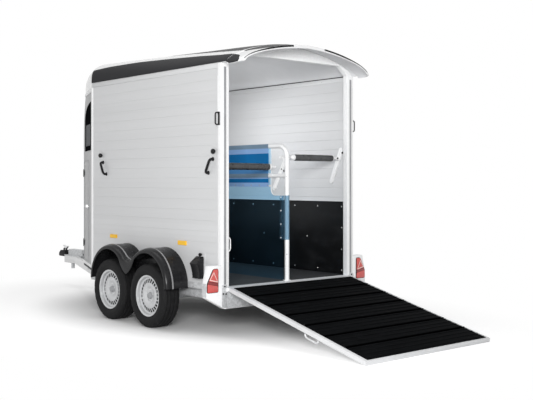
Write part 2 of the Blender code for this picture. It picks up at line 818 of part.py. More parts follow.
# One leg of the drawbar: straight beside the coupling, then splayed to the sill, open to the inside
def make_drawbar():
    low = CHASSIS_TOP - DRAWBAR_HEIGHT
    near = DRAWBAR_THROAT / 2
    far = near + DRAWBAR_WIDTH
    end = SILL_INNER - GAP
    run = DRAWBAR_KNEE - DRAWBAR_REAR
    slope = (end - far) / run
    shift = DRAWBAR_WIDTH * hypot(1.0, slope)
    bend_inner = DRAWBAR_KNEE - (shift - DRAWBAR_WIDTH) / slope
    join_inner = DRAWBAR_REAR - shift / slope

    def leg(inset):
        wall = inset * hypot(1.0, slope)
        outer_bend = DRAWBAR_KNEE - (wall - inset) / slope
        return [
            (-DRAWBAR_FRONT - inset, far - inset),
            (-outer_bend, far - inset),
            (-DRAWBAR_REAR + wall / slope * (1 if inset else 0), end),
            (-join_inner, end),
            (-bend_inner, near),
            (-DRAWBAR_FRONT - inset, near),
        ]

    for label, side in SIDES:
        loop = mirror_points(leg(0.0), side)
        beam = outline(f"drawbar_{label}", [loop], "xy", low, CHASSIS_TOP, GALVANISED)
        beam = as_mesh(beam)
        hollow = mirror_points([(x, y) for x, y in leg(CHASSIS_STEEL)], side)
        inside = [(x, y - side * (CHASSIS_STEEL if y * side <= near else 0)) for x, y in hollow]
        core = outline(
            f"drawbar_core_{label}",
            [inside],
            "xy",
            low + CHASSIS_STEEL,
            CHASSIS_TOP - CHASSIS_STEEL,
            None,
            trailer,
            guides,
        )
        cut_out(beam, as_mesh(core))


def make_coupling():
    near = DRAWBAR_THROAT / 2 - GAP
    front = -DRAWBAR_FRONT
    rear = front + HOUSING_LENGTH
    housing = block("overrun_housing", (front, -near, HOUSING_LOW), (rear, near, HOUSING_HIGH), GALVANISED)
    wide = DRAWBAR_THROAT / 2 + DRAWBAR_WIDTH
    seat = CHASSIS_TOP + GAP
    flange = block(
        "housing_flange",
        (front, -wide, seat),
        (-BRAKE_PIVOT, wide, seat + HOUSING_FLANGE),
        None,
        trailer,
        guides,
    )
    lever_side = DRAWBAR_THROAT / 2 + DRAWBAR_WIDTH / 2
    ear_low = lever_side + BRAKE_RADIUS + RUNNING
    ear_x = -BRAKE_PIVOT - EYE_RADIUS
    ear = outline(
        "brake_ear",
        [tab((ear_x, seat + HOUSING_FLANGE / 2), (ear_x, BRAKE_PIVOT_HEIGHT), EYE_RADIUS)],
        "xz",
        ear_low,
        ear_low + EAR_THICKNESS,
        None,
        trailer,
        guides,
    )
    pivot = (ear_x, lever_side, BRAKE_PIVOT_HEIGHT)
    pin = bar(
        "brake_pin",
        (pivot[0], lever_side - BRAKE_RADIUS, pivot[2]),
        (pivot[0], ear_low + EAR_THICKNESS / 2, pivot[2]),
        LEVER_PIVOT_RADIUS,
        None,
        trailer,
        16,
        guides,
    )
    weld_on(housing, flange, as_mesh(ear), pin)
    bore = bar(
        "housing_bore",
        (front - WALL, 0, SHAFT_HEIGHT),
        (rear + WALL, 0, SHAFT_HEIGHT),
        SHAFT_RADIUS + RUNNING,
        None,
        trailer,
        32,
        guides,
    )
    cut_out(housing, bore)

    turn = radians(BRAKE_TILT)
    hinge = empty("brake_pivot", pivot, (0.0, turn, 0.0), trailer)
    root = (EYE_RADIUS * 0.5, 0, 0)
    lever = bar("handbrake_lever", root, (-BRAKE_LENGTH, 0, 0), BRAKE_RADIUS, CHARCOAL, hinge, 16)
    boss = bar("lever_boss", (0, -BRAKE_RADIUS, 0), (0, BRAKE_RADIUS, 0), EYE_RADIUS, None, hinge, 20, guides)
    hole = bar(
        "lever_hole",
        (0, -2 * EYE_RADIUS, 0),
        (0, 2 * EYE_RADIUS, 0),
        LEVER_PIVOT_RADIUS + RUNNING,
        None,
        hinge,
        16,
        guides,
    )
    weld_on(lever, boss)
    cut_out(lever, hole)

    slide = empty("overrun_slide", (-COUPLING_NOSE, 0, 0), parent=trailer)
    half = COUPLING_WIDTH / 2
    body = [
        (0.0, COUPLING_LOW),
        (0.0, COUPLING_LOW + half),
        (BALL_SETBACK, COUPLING_HIGH),
        (COUPLING_LENGTH, COUPLING_HIGH),
        (COUPLING_LENGTH, COUPLING_LOW),
    ]
    head = outline("coupling_head", [rounded(body, BALL_RADIUS / 2)], "xz", -half, half, GALVANISED, slide)
    head = as_mesh(head)
    shaft = bar(
        "coupling_shaft",
        (COUPLING_LENGTH - half, 0, SHAFT_HEIGHT),
        (COUPLING_NOSE - DRAWBAR_FRONT + HOUSING_LENGTH - COUPLING_TRAVEL, 0, SHAFT_HEIGHT),
        SHAFT_RADIUS,
        None,
        slide,
        32,
        guides,
    )
    hinge_x = LEVER_PIVOT_SETBACK
    lug_low = COUPLING_HIGH - EYE_RADIUS / 2
    lug_high = COUPLING_HIGH + EYE_RADIUS
    lug_half = LEVER_WIDTH / 2 + RUNNING + EAR_THICKNESS
    lugs = []
    for label, side in SIDES:
        across = sorted((side * lug_half, side * (lug_half - EAR_THICKNESS)))
        shape = capsule((hinge_x, lug_low), (hinge_x, lug_high), EYE_RADIUS * 0.8)
        lugs.append(as_mesh(outline(f"lever_lug_{label}", [shape], "xz", *across, None, slide, guides)))
    pin = bar(
        "lever_pin",
        (hinge_x, -lug_half + EAR_THICKNESS / 2, lug_high),
        (hinge_x, lug_half - EAR_THICKNESS / 2, lug_high),
        LEVER_PIVOT_RADIUS,
        None,
        slide,
        16,
        guides,
    )
    weld_on(head, shaft, *lugs, pin)
    socket = bar(
        "ball_socket",
        (BALL_SETBACK, 0, COUPLING_LOW - BALL_RADIUS),
        (BALL_SETBACK, 0, COUPLING_LOW + 1.6 * BALL_RADIUS),
        BALL_RADIUS + RUNNING,
        None,
        slide,
        24,
        guides,
    )
    cut_out(head, socket)

    tilt = empty("lever_pivot", (hinge_x, 0, lug_high), parent=slide)
    grip = [
        (-EYE_RADIUS * 0.7, -EYE_RADIUS * 0.6),
        (EYE_RADIUS * 0.7, -EYE_RADIUS * 0.6),
        (LEVER_REACH, LEVER_RISE * 0.55),
        (LEVER_REACH, LEVER_RISE * 0.8),
        (0.0, LEVER_RISE * 0.8),
        (-LEVER_REACH * 0.6, LEVER_RISE),
        (-LEVER_REACH * 0.6, LEVER_RISE * 0.75),
        (-EYE_RADIUS * 0.7, LEVER_RISE * 0.5),
    ]
    half = LEVER_WIDTH / 2
    lever = as_mesh(outline("coupling_lever", [grip], "xz", -half, half, GALVANISED, tilt))
    bore = LEVER_PIVOT_RADIUS + RUNNING
    hole = bar("grip_hole", (0, -2 * half, 0), (0, 2 * half, 0), bore, None, tilt, 16, guides)
    cut_out(lever, hole)

    top = HOUSING_LOW - GAP
    at = front + PROP_RADIUS + PROP_SETBACK
    socket = bar("prop_socket", (at, 0, PROP_FOOT), (at, 0, top), PROP_RADIUS, GALVANISED)
    bore = bar(
        "prop_bore",
        (at, 0, PROP_FOOT - PROP_BORE),
        (at, 0, top - PROP_BORE),
        PROP_BORE,
        None,
        trailer,
        24,
        guides,
    )
    cut_out(socket, bore)


# Running gear

def tyre_profile():
    half = TYRE_WIDTH / 2
    wall = TYRE_RADIUS - RIM_FLANGE
    seat = RIM_SEAT + GAP
    bead = RIM_HALF_WIDTH - RIM_LIP - 2 * GAP
    upper = [
        (seat, bead),
        (RIM_FLANGE + 2 * GAP, bead),
        (RIM_FLANGE + 0.06 * wall, bead + RIM_LIP),
        (RIM_FLANGE + 0.30 * wall, half * 0.98),
        (RIM_FLANGE + 0.52 * wall, half),
        (RIM_FLANGE + 0.78 * wall, half * 0.94),
        (RIM_FLANGE + 0.93 * wall, half * 0.84),
        (TYRE_RADIUS, half * 0.66),
    ]
    return upper + [(r, -z) for r, z in reversed(upper)]


def rim_profile():
    half = RIM_HALF_WIDTH
    lip = RIM_LIP
    barrel = RIM_SEAT - RIM_WALL
    face = RIM_DISC_FACE
    back = face - RIM_DISC
    crown = RIM_CROWN
    return [
        (RIM_FLANGE, half),
        (RIM_FLANGE, half - lip),
        (RIM_SEAT, half - lip),
        (RIM_SEAT, lip - half),
        (RIM_FLANGE, lip - half),
        (RIM_FLANGE, -half),
        (barrel, -half),
        (barrel, back),
        (0.80 * barrel, back),
        (0.64 * barrel, back + crown),
        (0.47 * barrel, back + 0.9 * crown),
        (0.36 * barrel, back),
        (HUB_BORE, back),
        (HUB_BORE, face),
        (0.36 * barrel, face),
        (0.47 * barrel, face + 0.9 * crown),
        (0.64 * barrel, face + crown),
        (0.80 * barrel, face + 0.1 * crown),
        (0.94 * barrel, face + 0.25 * crown),
        (barrel, face + 0.6 * crown),
        (barrel + 0.3 * lip, half),
    ]


def make_wheels():
    for end, axle in (("front", AXLE_FRONT), ("rear", AXLE_REAR)):
        tube_end = SILL_OUTER + RUNNING
        pivot_x = -axle - ARM_LENGTH
        half = AXLE_TUBE / 2
        tube = block(
            f"axle_{end}",
            (pivot_x - half, -tube_end, PIVOT_HEIGHT - half),
            (pivot_x + half, tube_end, PIVOT_HEIGHT + half),
            GALVANISED,
        )
        for label, side in SIDES:
            pivot = empty(f"arm_pivot_{end}_{label}", (pivot_x, 0, PIVOT_HEIGHT), parent=trailer)
            wheel = (ARM_LENGTH, AXLE_HEIGHT - PIVOT_HEIGHT)
            near = tube_end + GAP
            across = sorted((side * near, side * (near + ARM_THICKNESS)))
            loop = capsule((0, 0), wheel, ARM_EYE)
            arm = outline(f"suspension_arm_{end}_{label}", [loop], "xz", *across, GALVANISED, pivot)
            arm = as_mesh(arm)
            pin = bar(
                f"arm_pin_{end}_{label}",
                (0, side * (near + ARM_THICKNESS / 2), 0),
                (0, side * (near - ARM_PIN_LENGTH), 0),
                ARM_PIN_RADIUS,
                None,
                pivot,
                24,
                guides,
            )
            face = WHEEL_CENTRE + RIM_DISC_FACE
            spindle = bar(
                f"spindle_{end}_{label}",
                (wheel[0], side * (near + ARM_THICKNESS / 2), wheel[1]),
                (wheel[0], side * face, wheel[1]),
                HUB_BORE - RUNNING,
                None,
                pivot,
                24,
                guides,
            )
            drum = bar(
                f"drum_{end}_{label}",
                (wheel[0], side * (HALF + DRUM_START), wheel[1]),
                (wheel[0], side * (face - RIM_DISC - DRUM_CLEARANCE), wheel[1]),
                DRUM_RADIUS,
                None,
                pivot,
                28,
                guides,
            )
            weld_on(arm, pin, spindle, drum)
            socket = bar(
                f"arm_socket_{end}_{label}",
                (pivot_x, side * (near + ARM_THICKNESS), PIVOT_HEIGHT),
                (pivot_x, side * (near - ARM_PIN_LENGTH - RUNNING), PIVOT_HEIGHT),
                ARM_PIN_RADIUS + RUNNING,
                None,
                trailer,
                24,
                guides,
            )
            cut_out(tube, socket)
            hub = empty(f"hub_{end}_{label}", (-axle, side * WHEEL_CENTRE, AXLE_HEIGHT), parent=trailer)
            facing = (pi / 2 * -side, 0.0, 0.0)
            smooth(turned(f"tyre_{end}_{label}", tyre_profile(), TYRE, hub, facing))
            smooth(turned(f"rim_{end}_{label}", rim_profile(), SILVER, hub, facing))


# Side view of a mudguard: two arches over the wheels with a rounded valley between them
def guard_route():
    radius = TYRE_RADIUS + GUARD_CLEARANCE
    level = AXLE_HEIGHT + GUARD_LIFT
    half = AXLE_SPACING / 2
    dip = GUARD_VALLEY - level
    fillet = (dip ** 2 - radius ** 2 + half ** 2) / (2 * (radius - dip))
    middle = -(AXLE_FRONT + AXLE_REAR) / 2
    valley = (middle, GUARD_VALLEY + fillet)
    lean = degrees(atan2(valley[1] - level, half))
    front = arc((-AXLE_FRONT, level), radius, 180, lean, GUARD_ARC_STEPS)
    dip_arc = arc(valley, fillet, 180 + lean, 360 - lean, GUARD_VALLEY_STEPS)[1:-1]
    rear = arc((-AXLE_REAR, level), radius, 180 - lean, 0, GUARD_ARC_STEPS)
    route = []
    for x, z in front:
        route.append((x, z, Vector((x + AXLE_FRONT, z - level)).normalized(), 0.0))
    for x, z in dip_arc:
        share = 1 - abs(x - middle) / (half - radius * cos(radians(lean)))
        route.append((x, z, Vector((valley[0] - x, valley[1] - z)).normalized(), share))
    for x, z in rear:
        route.append((x, z, Vector((x + AXLE_REAR, z - level)).normalized(), 0.0))
    return route


def make_mudguards():
    wall = HALF + GAP
    deepest = GUARD_VALLEY - GUARD_TIP - GUARD_SKIRT
    for label, side in SIDES:
        rows = ([], [])
        for x, z, up, share in guard_route():
            section = [(wall, 0.0), (wall + GUARD_FLAT, 0.0)]
            for turn in (35, 65, 90):
                drop = GUARD_SKIRT * 0.6 * (1 - cos(radians(turn)))
                section.append((wall + GUARD_FLAT + GUARD_SHOULDER * sin(radians(turn)), drop))
            section.append((wall + GUARD_FLAT + GUARD_SHOULDER, GUARD_SKIRT + deepest * share))
            for row, depth in zip(rows, (0.0, GUARD_SHEET)):
                line = []
                for k, (across, drop) in enumerate(section):
                    inward = depth if k >= 4 else depth * (0.6 if k == 3 else 0.0)
                    below = drop + (depth if k < 4 else 0.0)
                    line.append((x - up.x * below, side * (across - inward), z - up.y * below))
                row.append(line)
        smooth(loft(f"mudguard_{label}", *rows, CHARCOAL))


# Lamps

def make_lamps():
    for label, side in SIDES:
        near = HALF + LAMP_INNER
        corners = [
            (near, LAMP_LOW),
            (near + LAMP_BASE, LAMP_LOW),
            (near + LAMP_BASE, LAMP_CHEEK),
            (near + LAMP_CROWN, LAMP_HIGH),
            (near, LAMP_HIGH),
        ]
        loop = [(side * y, z) for y, z in rounded(corners, LAMP_ROUND)]
        outline(f"lamp_{label}", [loop], "yz", GAP, LAMP_THICKNESS, LAMP_RED)


# Ramp

def make_ramp():
    hinge = empty("ramp_hinge", (RAMP_HINGE_SETBACK, 0.0, RAMP_HINGE_HEIGHT), (0.0, RAMP_SLOPE, 0.0), trailer)
    half = RAMP_THICKNESS / 2
    board = block("ramp_board", (-RAMP_TOE, -RAMP_HALF, -half), (RAMP_LENGTH, RAMP_HALF, half), RAMP, hinge)
    added = []
    cuts = []
    for label, side in SIDES:
        across = side * (RAMP_HALF - GRIP_INSET)
        ends = (GRIP_DISTANCE, GRIP_DISTANCE + GRIP_LENGTH)
        route = [
            (ends[0], across, 0.0),
            (ends[0], across, -half - GRIP_DROP * 0.6),
            (ends[0] + GRIP_DROP * 0.4, across, -half - GRIP_DROP),
            (ends[1] - GRIP_DROP * 0.4, across, -half - GRIP_DROP),
            (ends[1], across, -half - GRIP_DROP * 0.6),
            (ends[1], across, 0.0),
        ]
        added.append(as_mesh(rod(f"ramp_grip_{label}", route, GRIP_RADIUS, None, hinge, 1, guides)))
        start = (0, side * (RAMP_HALF + RAMP_PIN_LENGTH), 0)
        end = (0, side * (RAMP_HALF - RAMP_PIN_LENGTH - RUNNING), 0)
        cuts.append(bar(f"pin_bore_{label}", start, end, RAMP_PIN_RADIUS + RUNNING, None, hinge, 16, guides))
    weld_on(board, *added)
    cut_out(board, *cuts)

    base = half + GAP
    top = base + MAT_SHEET
    stop = RAMP_LENGTH - MAT_END
    loop = [(MAT_START, base), (MAT_START, top)]
    count = MAT_FIELDS * RIBS_PER_FIELD
    pitch = (stop - MAT_START) / count
    for i in range(count):
        middle = MAT_START + pitch * (i + 0.5)
        loop.append((middle - RIB_WIDTH / 2, top))
        loop.append((middle - RIB_WIDTH / 4, top + RIB_HEIGHT))
        loop.append((middle + RIB_WIDTH / 4, top + RIB_HEIGHT))
        loop.append((middle + RIB_WIDTH / 2, top))
    loop += [(stop, top), (stop, base)]
    wide = RAMP_HALF - MAT_MARGIN
    outline("ramp_mat", [loop], "xz", -wide, wide, RUBBER, hinge)


# Stalls

def flip(x, front):
    return -2 * MIDDLE - x if front else x


def make_partition():
    rear = -POST_SETBACK
    front = flip(rear, True)
    foot = FLOOR_TOP + GAP
    bend = PARTITION_CORNER
    route = [(rear, 0, foot)]
    for x, z in arc((rear - bend, PARTITION_TOP - bend), bend, 0, 90, BEND_STEPS):
        route.append((x, 0, z))
    for x, z in arc((front + bend, PARTITION_TOP - bend), bend, 90, 180, BEND_STEPS):
        route.append((x, 0, z))
    route.append((front, 0, foot))
    frame = as_mesh(rod("partition_frame", route, POST_RADIUS, GALVANISED))
    middle = bar(
        "partition_rail",
        (rear, 0, PARTITION_MID),
        (front, 0, PARTITION_MID),
        POST_RADIUS * 0.9,
        None,
        trailer,
        16,
        guides,
    )
    added = [middle]
    for end, is_front in (("rear", False), ("front", True)):
        top = (flip(-PLATE_SETBACK, is_front), PLATE_HIGH)
        low = (flip(-PLATE_SETBACK - PLATE_RUN, is_front), PLATE_HIGH - PLATE_DROP)
        half = PLATE_THICKNESS / 2
        loop = capsule(low, top, PLATE_WIDTH / 2)
        plate = outline(f"partition_plate_{end}", [loop], "xz", -half, half, None, trailer, guides)
        added.append(as_mesh(plate))
    weld_on(frame, *added)

    beside = -POST_RADIUS - GAP
    rear_edge = -PANEL_SETBACK
    front_edge = flip(rear_edge, True)
    corners = [
        (front_edge, PANEL_HEM),
        (rear_edge, PANEL_HEM),
        (rear_edge, PANEL_HIGH),
        (front_edge, PANEL_HIGH),
    ]
    outline("partition_panel", [corners], "xz", beside - SHEET, beside, DEEP_BLUE)
    low = FLOOR_TOP + CURTAIN_LOW_CLEARANCE
    wide = rear + SLEEVE_REACH
    edge = rear - SLEEVE_REACH
    corner = CURTAIN_CORNER
    top = arc((rear_edge + corner, CURTAIN_HIGH + corner), corner, 270, 180, CORNER_STEPS)
    top.append((rear_edge, PANEL_HEM - GAP))
    loop = [
        (flip(edge, True), low),
        (edge, low),
        (edge, SLEEVE_LOW),
        (wide, SLEEVE_LOW),
        (wide, CURTAIN_HIGH),
        *top,
        *((flip(x, True), z) for x, z in reversed(top)),
        (flip(edge, True), CURTAIN_HIGH),
    ]
    outline("partition_curtain", [loop], "xz", beside - SHEET, beside, PALE_BLUE)


def make_bars():
    plate_face = INNER - GAP - BRACKET_PLATE
    pivot_y = plate_face - EYE_REACH
    for end, is_front in (("rear", False), ("front", True)):
        for label, side in SIDES:
            notch = NOTCH_LOW if (label, end) == ("left", "rear") else NOTCH_HIGH
            top = (flip(-BRACKET_SETBACK, is_front), BRACKET_HIGH)
            low = (flip(-BRACKET_SETBACK - BRACKET_RUN, is_front), BRACKET_HIGH - BRACKET_DROP)
            at = (top[0] + (low[0] - top[0]) * notch, top[1] + (low[1] - top[1]) * notch)
            across = sorted((side * plate_face, side * (INNER - GAP)))
            name = f"{end}_{label}"
            bracket = outline(
                f"bar_bracket_{name}", [capsule(low, top, BRACKET_WIDTH / 2)], "xz", *across, GALVANISED
            )
            bracket = as_mesh(bracket)
            added = []
            reach = EYE_WIDTH / 2 + RUNNING
            for which, lean in SIDES:
                near = at[0] + lean * reach
                deep = sorted((near, near + lean * EAR_THICKNESS))
                seat = side * (plate_face + BRACKET_PLATE / 2)
                shape = tab((seat, at[1]), (side * pivot_y, at[1]), EYE_RADIUS)
                ear = outline(f"bar_ear_{name}_{which}", [shape], "yz", *deep, None, trailer, guides)
                added.append(as_mesh(ear))
            end_x = reach + EAR_THICKNESS / 2
            pin = bar(
                f"bar_pin_{name}",
                (at[0] - end_x, side * pivot_y, at[1]),
                (at[0] + end_x, side * pivot_y, at[1]),
                BAR_PIN_RADIUS,
                None,
                trailer,
                16,
                guides,
            )
            weld_on(bracket, *added, pin)

            kind = "rear_bar" if end == "rear" else "breast_bar"
            pivot = empty(f"{kind}_pivot_{label}", (at[0], side * pivot_y, at[1]), parent=trailer)
            stop = pivot_y - PLATE_THICKNESS / 2 - BAR_END_CLEARANCE
            eye_end = EYE_WIDTH / 2
            eye = bar(f"{kind}_{label}", (-eye_end, 0, 0), (eye_end, 0, 0), EYE_RADIUS, CHARCOAL, pivot, 20)
            neck = bar(
                f"{kind}_neck_{label}",
                (0, -side * (BAR_PIN_RADIUS + 2 * RUNNING), 0),
                (0, -side * stop, 0),
                BAR_NECK,
                None,
                pivot,
                16,
                guides,
            )
            pad = bar(
                f"{kind}_pad_{label}",
                (0, -side * 1.7 * EYE_REACH, 0),
                (0, side * (BAR_PAD_STOPS[label] - pivot_y), 0),
                BAR_RADIUS,
                None,
                pivot,
                20,
                guides,
            )
            hole = bar(
                f"{kind}_hole_{label}",
                (-EYE_WIDTH, 0, 0),
                (EYE_WIDTH, 0, 0),
                BAR_PIN_RADIUS + RUNNING,
                None,
                pivot,
                16,
                guides,
            )
            weld_on(eye, neck, pad)
            cut_out(eye, hole)


# Fittings on the outside of the side walls

def make_fittings():
    seat = HALF + GAP
    for label, side in SIDES:
        for end, is_front in (("rear", False), ("front", True)):
            top = (flip(-LOOP_SETBACK, is_front), LOOP_HIGH)
            low = (flip(-LOOP_SETBACK - LOOP_RUN, is_front), LOOP_HIGH - LOOP_DROP)
            route = []
            half_hoop = ((0.0, 0.0), (0.0, 0.55), (0.10, 0.9), (0.30, 1.0))
            hoop = [*half_hoop, *((1.0 - share, out) for share, out in reversed(half_hoop))]
            for share, out in hoop:
                x = top[0] + (low[0] - top[0]) * share
                z = top[1] + (low[1] - top[1]) * share
                route.append((x, side * (seat + LOOP_STANDOFF * out), z))
            rod(f"tie_loop_{end}_{label}", route, LOOP_RADIUS, CHARCOAL)

        pivot = empty(
            f"ramp_latch_pivot_{label}", (-BAIL_SETBACK, side * (seat + BAIL_POST), 0), parent=trailer
        )
        post = bar(
            f"ramp_latch_{label}",
            (0, 0, BAIL_LOW - LATCH_ROD),
            (0, 0, BAIL_HIGH + LATCH_ROD),
            BAIL_POST - GAP,
            CHARCOAL,
            pivot,
            16,
        )
        reach = side * BAIL_REACH
        corner = BAIL_REACH * 0.4
        route = [
            (0, 0, BAIL_HIGH),
            (0, reach - side * corner, BAIL_HIGH),
            (0, reach, BAIL_HIGH - corner),
            (0, reach, BAIL_LOW + corner),
            (0, reach - side * corner, BAIL_LOW),
            (0, 0, BAIL_LOW),
        ]
        bail = as_mesh(rod(f"ramp_latch_bail_{label}", route, LATCH_ROD, None, pivot, 1, guides))
        weld_on(post, bail)

    tip = (seat + CHOCK_REACH, CHOCK_HIGH - CHOCK_SLOPE)
    foot = (seat + CHOCK_FOOT, CHOCK_LOW)
    pull = ((tip[0] + foot[0]) / 2 - CHOCK_HOLLOW, (tip[1] + foot[1]) / 2)
    loop = [(-seat, CHOCK_LOW), (-seat, CHOCK_HIGH)]
    for k in range(CHOCK_ARC_STEPS + 1):
        t = k / CHOCK_ARC_STEPS
        out = tip[0] * (1 - t) ** 2 + pull[0] * 2 * t * (1 - t) + foot[0] * t * t
        loop.append((-out, tip[1] * (1 - t) ** 2 + pull[1] * 2 * t * (1 - t) + foot[1] * t * t))
    outline("wheel_chock", [loop], "yz", -CHOCK_REAR - CHOCK_WIDTH, -CHOCK_REAR, CHARCOAL)


make_floor()
make_walls()
make_nose()
make_entry_door()
make_roof()
make_rear_frame()
make_crossmember()
make_sills()
make_drawbar()
make_coupling()
make_wheels()
make_mudguards()
make_lamps()
make_ramp()
make_partition()
make_bars()
make_fittings()
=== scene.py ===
import json
import math
import bmesh
import bpy
from math import cos, pi, radians, sin
from mathutils import Matrix, Vector

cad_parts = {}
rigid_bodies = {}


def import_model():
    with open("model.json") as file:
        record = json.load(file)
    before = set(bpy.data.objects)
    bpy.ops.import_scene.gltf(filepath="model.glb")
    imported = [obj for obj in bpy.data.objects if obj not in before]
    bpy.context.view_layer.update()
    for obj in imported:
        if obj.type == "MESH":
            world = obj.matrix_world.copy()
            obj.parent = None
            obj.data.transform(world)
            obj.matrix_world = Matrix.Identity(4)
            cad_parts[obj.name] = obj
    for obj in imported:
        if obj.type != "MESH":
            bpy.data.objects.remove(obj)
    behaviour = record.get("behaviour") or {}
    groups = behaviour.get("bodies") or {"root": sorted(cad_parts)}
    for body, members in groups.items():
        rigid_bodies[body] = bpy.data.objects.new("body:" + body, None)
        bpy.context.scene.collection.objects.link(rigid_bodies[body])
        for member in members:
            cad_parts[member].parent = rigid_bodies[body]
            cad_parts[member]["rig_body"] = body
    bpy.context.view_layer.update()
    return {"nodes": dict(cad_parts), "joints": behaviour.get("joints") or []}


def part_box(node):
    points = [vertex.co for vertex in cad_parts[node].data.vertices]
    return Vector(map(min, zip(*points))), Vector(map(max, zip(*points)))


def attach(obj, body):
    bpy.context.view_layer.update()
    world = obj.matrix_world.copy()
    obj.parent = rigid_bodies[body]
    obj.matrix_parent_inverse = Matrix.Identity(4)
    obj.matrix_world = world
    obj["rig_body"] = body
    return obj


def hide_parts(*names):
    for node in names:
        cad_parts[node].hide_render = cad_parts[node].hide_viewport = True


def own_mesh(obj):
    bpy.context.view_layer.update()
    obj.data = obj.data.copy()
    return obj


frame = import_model()
scene = bpy.context.scene
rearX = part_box("rear_frame")[1].x  # the body's rear face; places below are measured from it
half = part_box("side_wall_right")[1].y
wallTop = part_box("side_wall_right")[1].z
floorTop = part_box("floor_board")[1].z
sides = (("left", -1), ("right", 1))
ends = ("front", "rear")
print("frame loaded", len(frame["nodes"]), "nodes")


# one socket of a node tree; sums and products on it add Math nodes
class Wire:
    def __init__(self, graph, socket):
        self.graph = graph
        self.socket = socket

    def mathNode(self, operation, left, right=0.0):
        return self.graph.node("ShaderNodeMath", {"operation": operation}, {0: left, 1: right})

    def __add__(self, other):
        return self.mathNode("ADD", self, other)

    def __sub__(self, other):
        return self.mathNode("SUBTRACT", self, other)

    def __rsub__(self, other):
        return self.mathNode("SUBTRACT", other, self)

    def __mul__(self, other):
        return self.mathNode("MULTIPLY", self, other)

    def __truediv__(self, other):
        return self.mathNode("DIVIDE", self, other)

    def __pow__(self, other):
        return self.mathNode("POWER", self, other)

    def over(self, other):
        return self.mathNode("GREATER_THAN", self, other)

    def under(self, other):
        return self.mathNode("LESS_THAN", self, other)

    def sine(self):
        return self.mathNode("SINE", self)

    def wrap(self):
        return self.mathNode("FRACT", self)

    def size(self):
        return self.mathNode("ABSOLUTE", self)

    def ramp(self, low, high, start=0.0, end=1.0):
        return self.graph.node(
            "ShaderNodeMapRange",
            {"interpolation_type": "SMOOTHSTEP"},
            {"Value": self, "From Min": low, "From Max": high, "To Min": start, "To Max": end},
        )

    __radd__ = __add__
    __rmul__ = __mul__


# a shader or geometry node tree, with one method for every kind of node
class Graph:
    def __init__(self, tree):
        self.tree = tree

    def node(self, kind, settings=None, inputs=None, output=0):
        made = self.tree.nodes.new(kind)
        for key, value in (settings or {}).items():
            if key == "stops":
                self.setStops(made.color_ramp, value)
            else:
                setattr(made, key, value)
        for key, value in (inputs or {}).items():
            if isinstance(value, Wire):
                self.tree.links.new(value.socket, made.inputs[key])
            else:
                made.inputs[key].default_value = value
        return Wire(self, made.outputs[output])

    def setStops(self, band, stops):
        while len(band.elements) < len(stops):
            band.elements.new(1.0)
        for element, (place, colour) in zip(band.elements, stops):
            element.position = place
            element.color = colour


class Finish(Graph):
    def __init__(self, name, colour, roughness, metallic=0.0, specular=0.5):
        self.material = bpy.data.materials.new(name)
        self.material.use_nodes = True
        super().__init__(self.material.node_tree)
        self.shader = self.tree.nodes["Principled BSDF"]
        self.colour = (*colour, 1.0)
        self.put("Base Color", self.colour)
        self.put("Roughness", roughness)
        self.put("Metallic", metallic)
        self.put("Specular IOR Level", specular)
        self.place = self.node("ShaderNodeTexCoord", output="Object")

    def put(self, socket, value):
        if isinstance(value, Wire):
            self.tree.links.new(value.socket, self.shader.inputs[socket])
        else:
            self.shader.inputs[socket].default_value = value
        return self

    def stretched(self, scale):
        return self.node("ShaderNodeMapping", {}, {"Vector": self.place, "Scale": scale})

    def axis(self, which):
        return self.node("ShaderNodeSeparateXYZ", {}, {0: self.place}, which)

    def noise(self, scale, detail=3.0, stretch=None, roughness=0.55):
        vector = self.stretched(stretch) if stretch else self.place
        inputs = {"Vector": vector, "Scale": scale, "Detail": detail, "Roughness": roughness}
        return self.node("ShaderNodeTexNoise", {}, inputs, "Fac")

    def cells(self, scale, feature="F1", output="Color", stretch=None):
        vector = self.stretched(stretch) if stretch else self.place
        return self.node(
            "ShaderNodeTexVoronoi", {"feature": feature}, {"Vector": vector, "Scale": scale}, output
        )

    def mix(self, factor, first, second):
        inputs = {"Factor": factor, "A": first, "B": second}
        made = self.tree.nodes.new("ShaderNodeMix")
        made.data_type = "RGBA"
        for socket, value in zip((made.inputs[0], made.inputs[6], made.inputs[7]), inputs.values()):
            if isinstance(value, Wire):
                self.tree.links.new(value.socket, socket)
            else:
                socket.default_value = value
        return Wire(self, made.outputs[2])

    # colour swings between two strengths of itself
    def tint(self, factor, low, high):
        tones = [tuple(min(1.0, c * k) for c in self.colour[:3]) + (1.0,) for k in (low, high)]
        return self.mix(factor, *tones)

    def bump(self, height, depth, strength=1.0):
        inputs = {"Height": height, "Distance": depth, "Strength": strength}
        return self.put("Normal", self.node("ShaderNodeBump", {}, inputs))


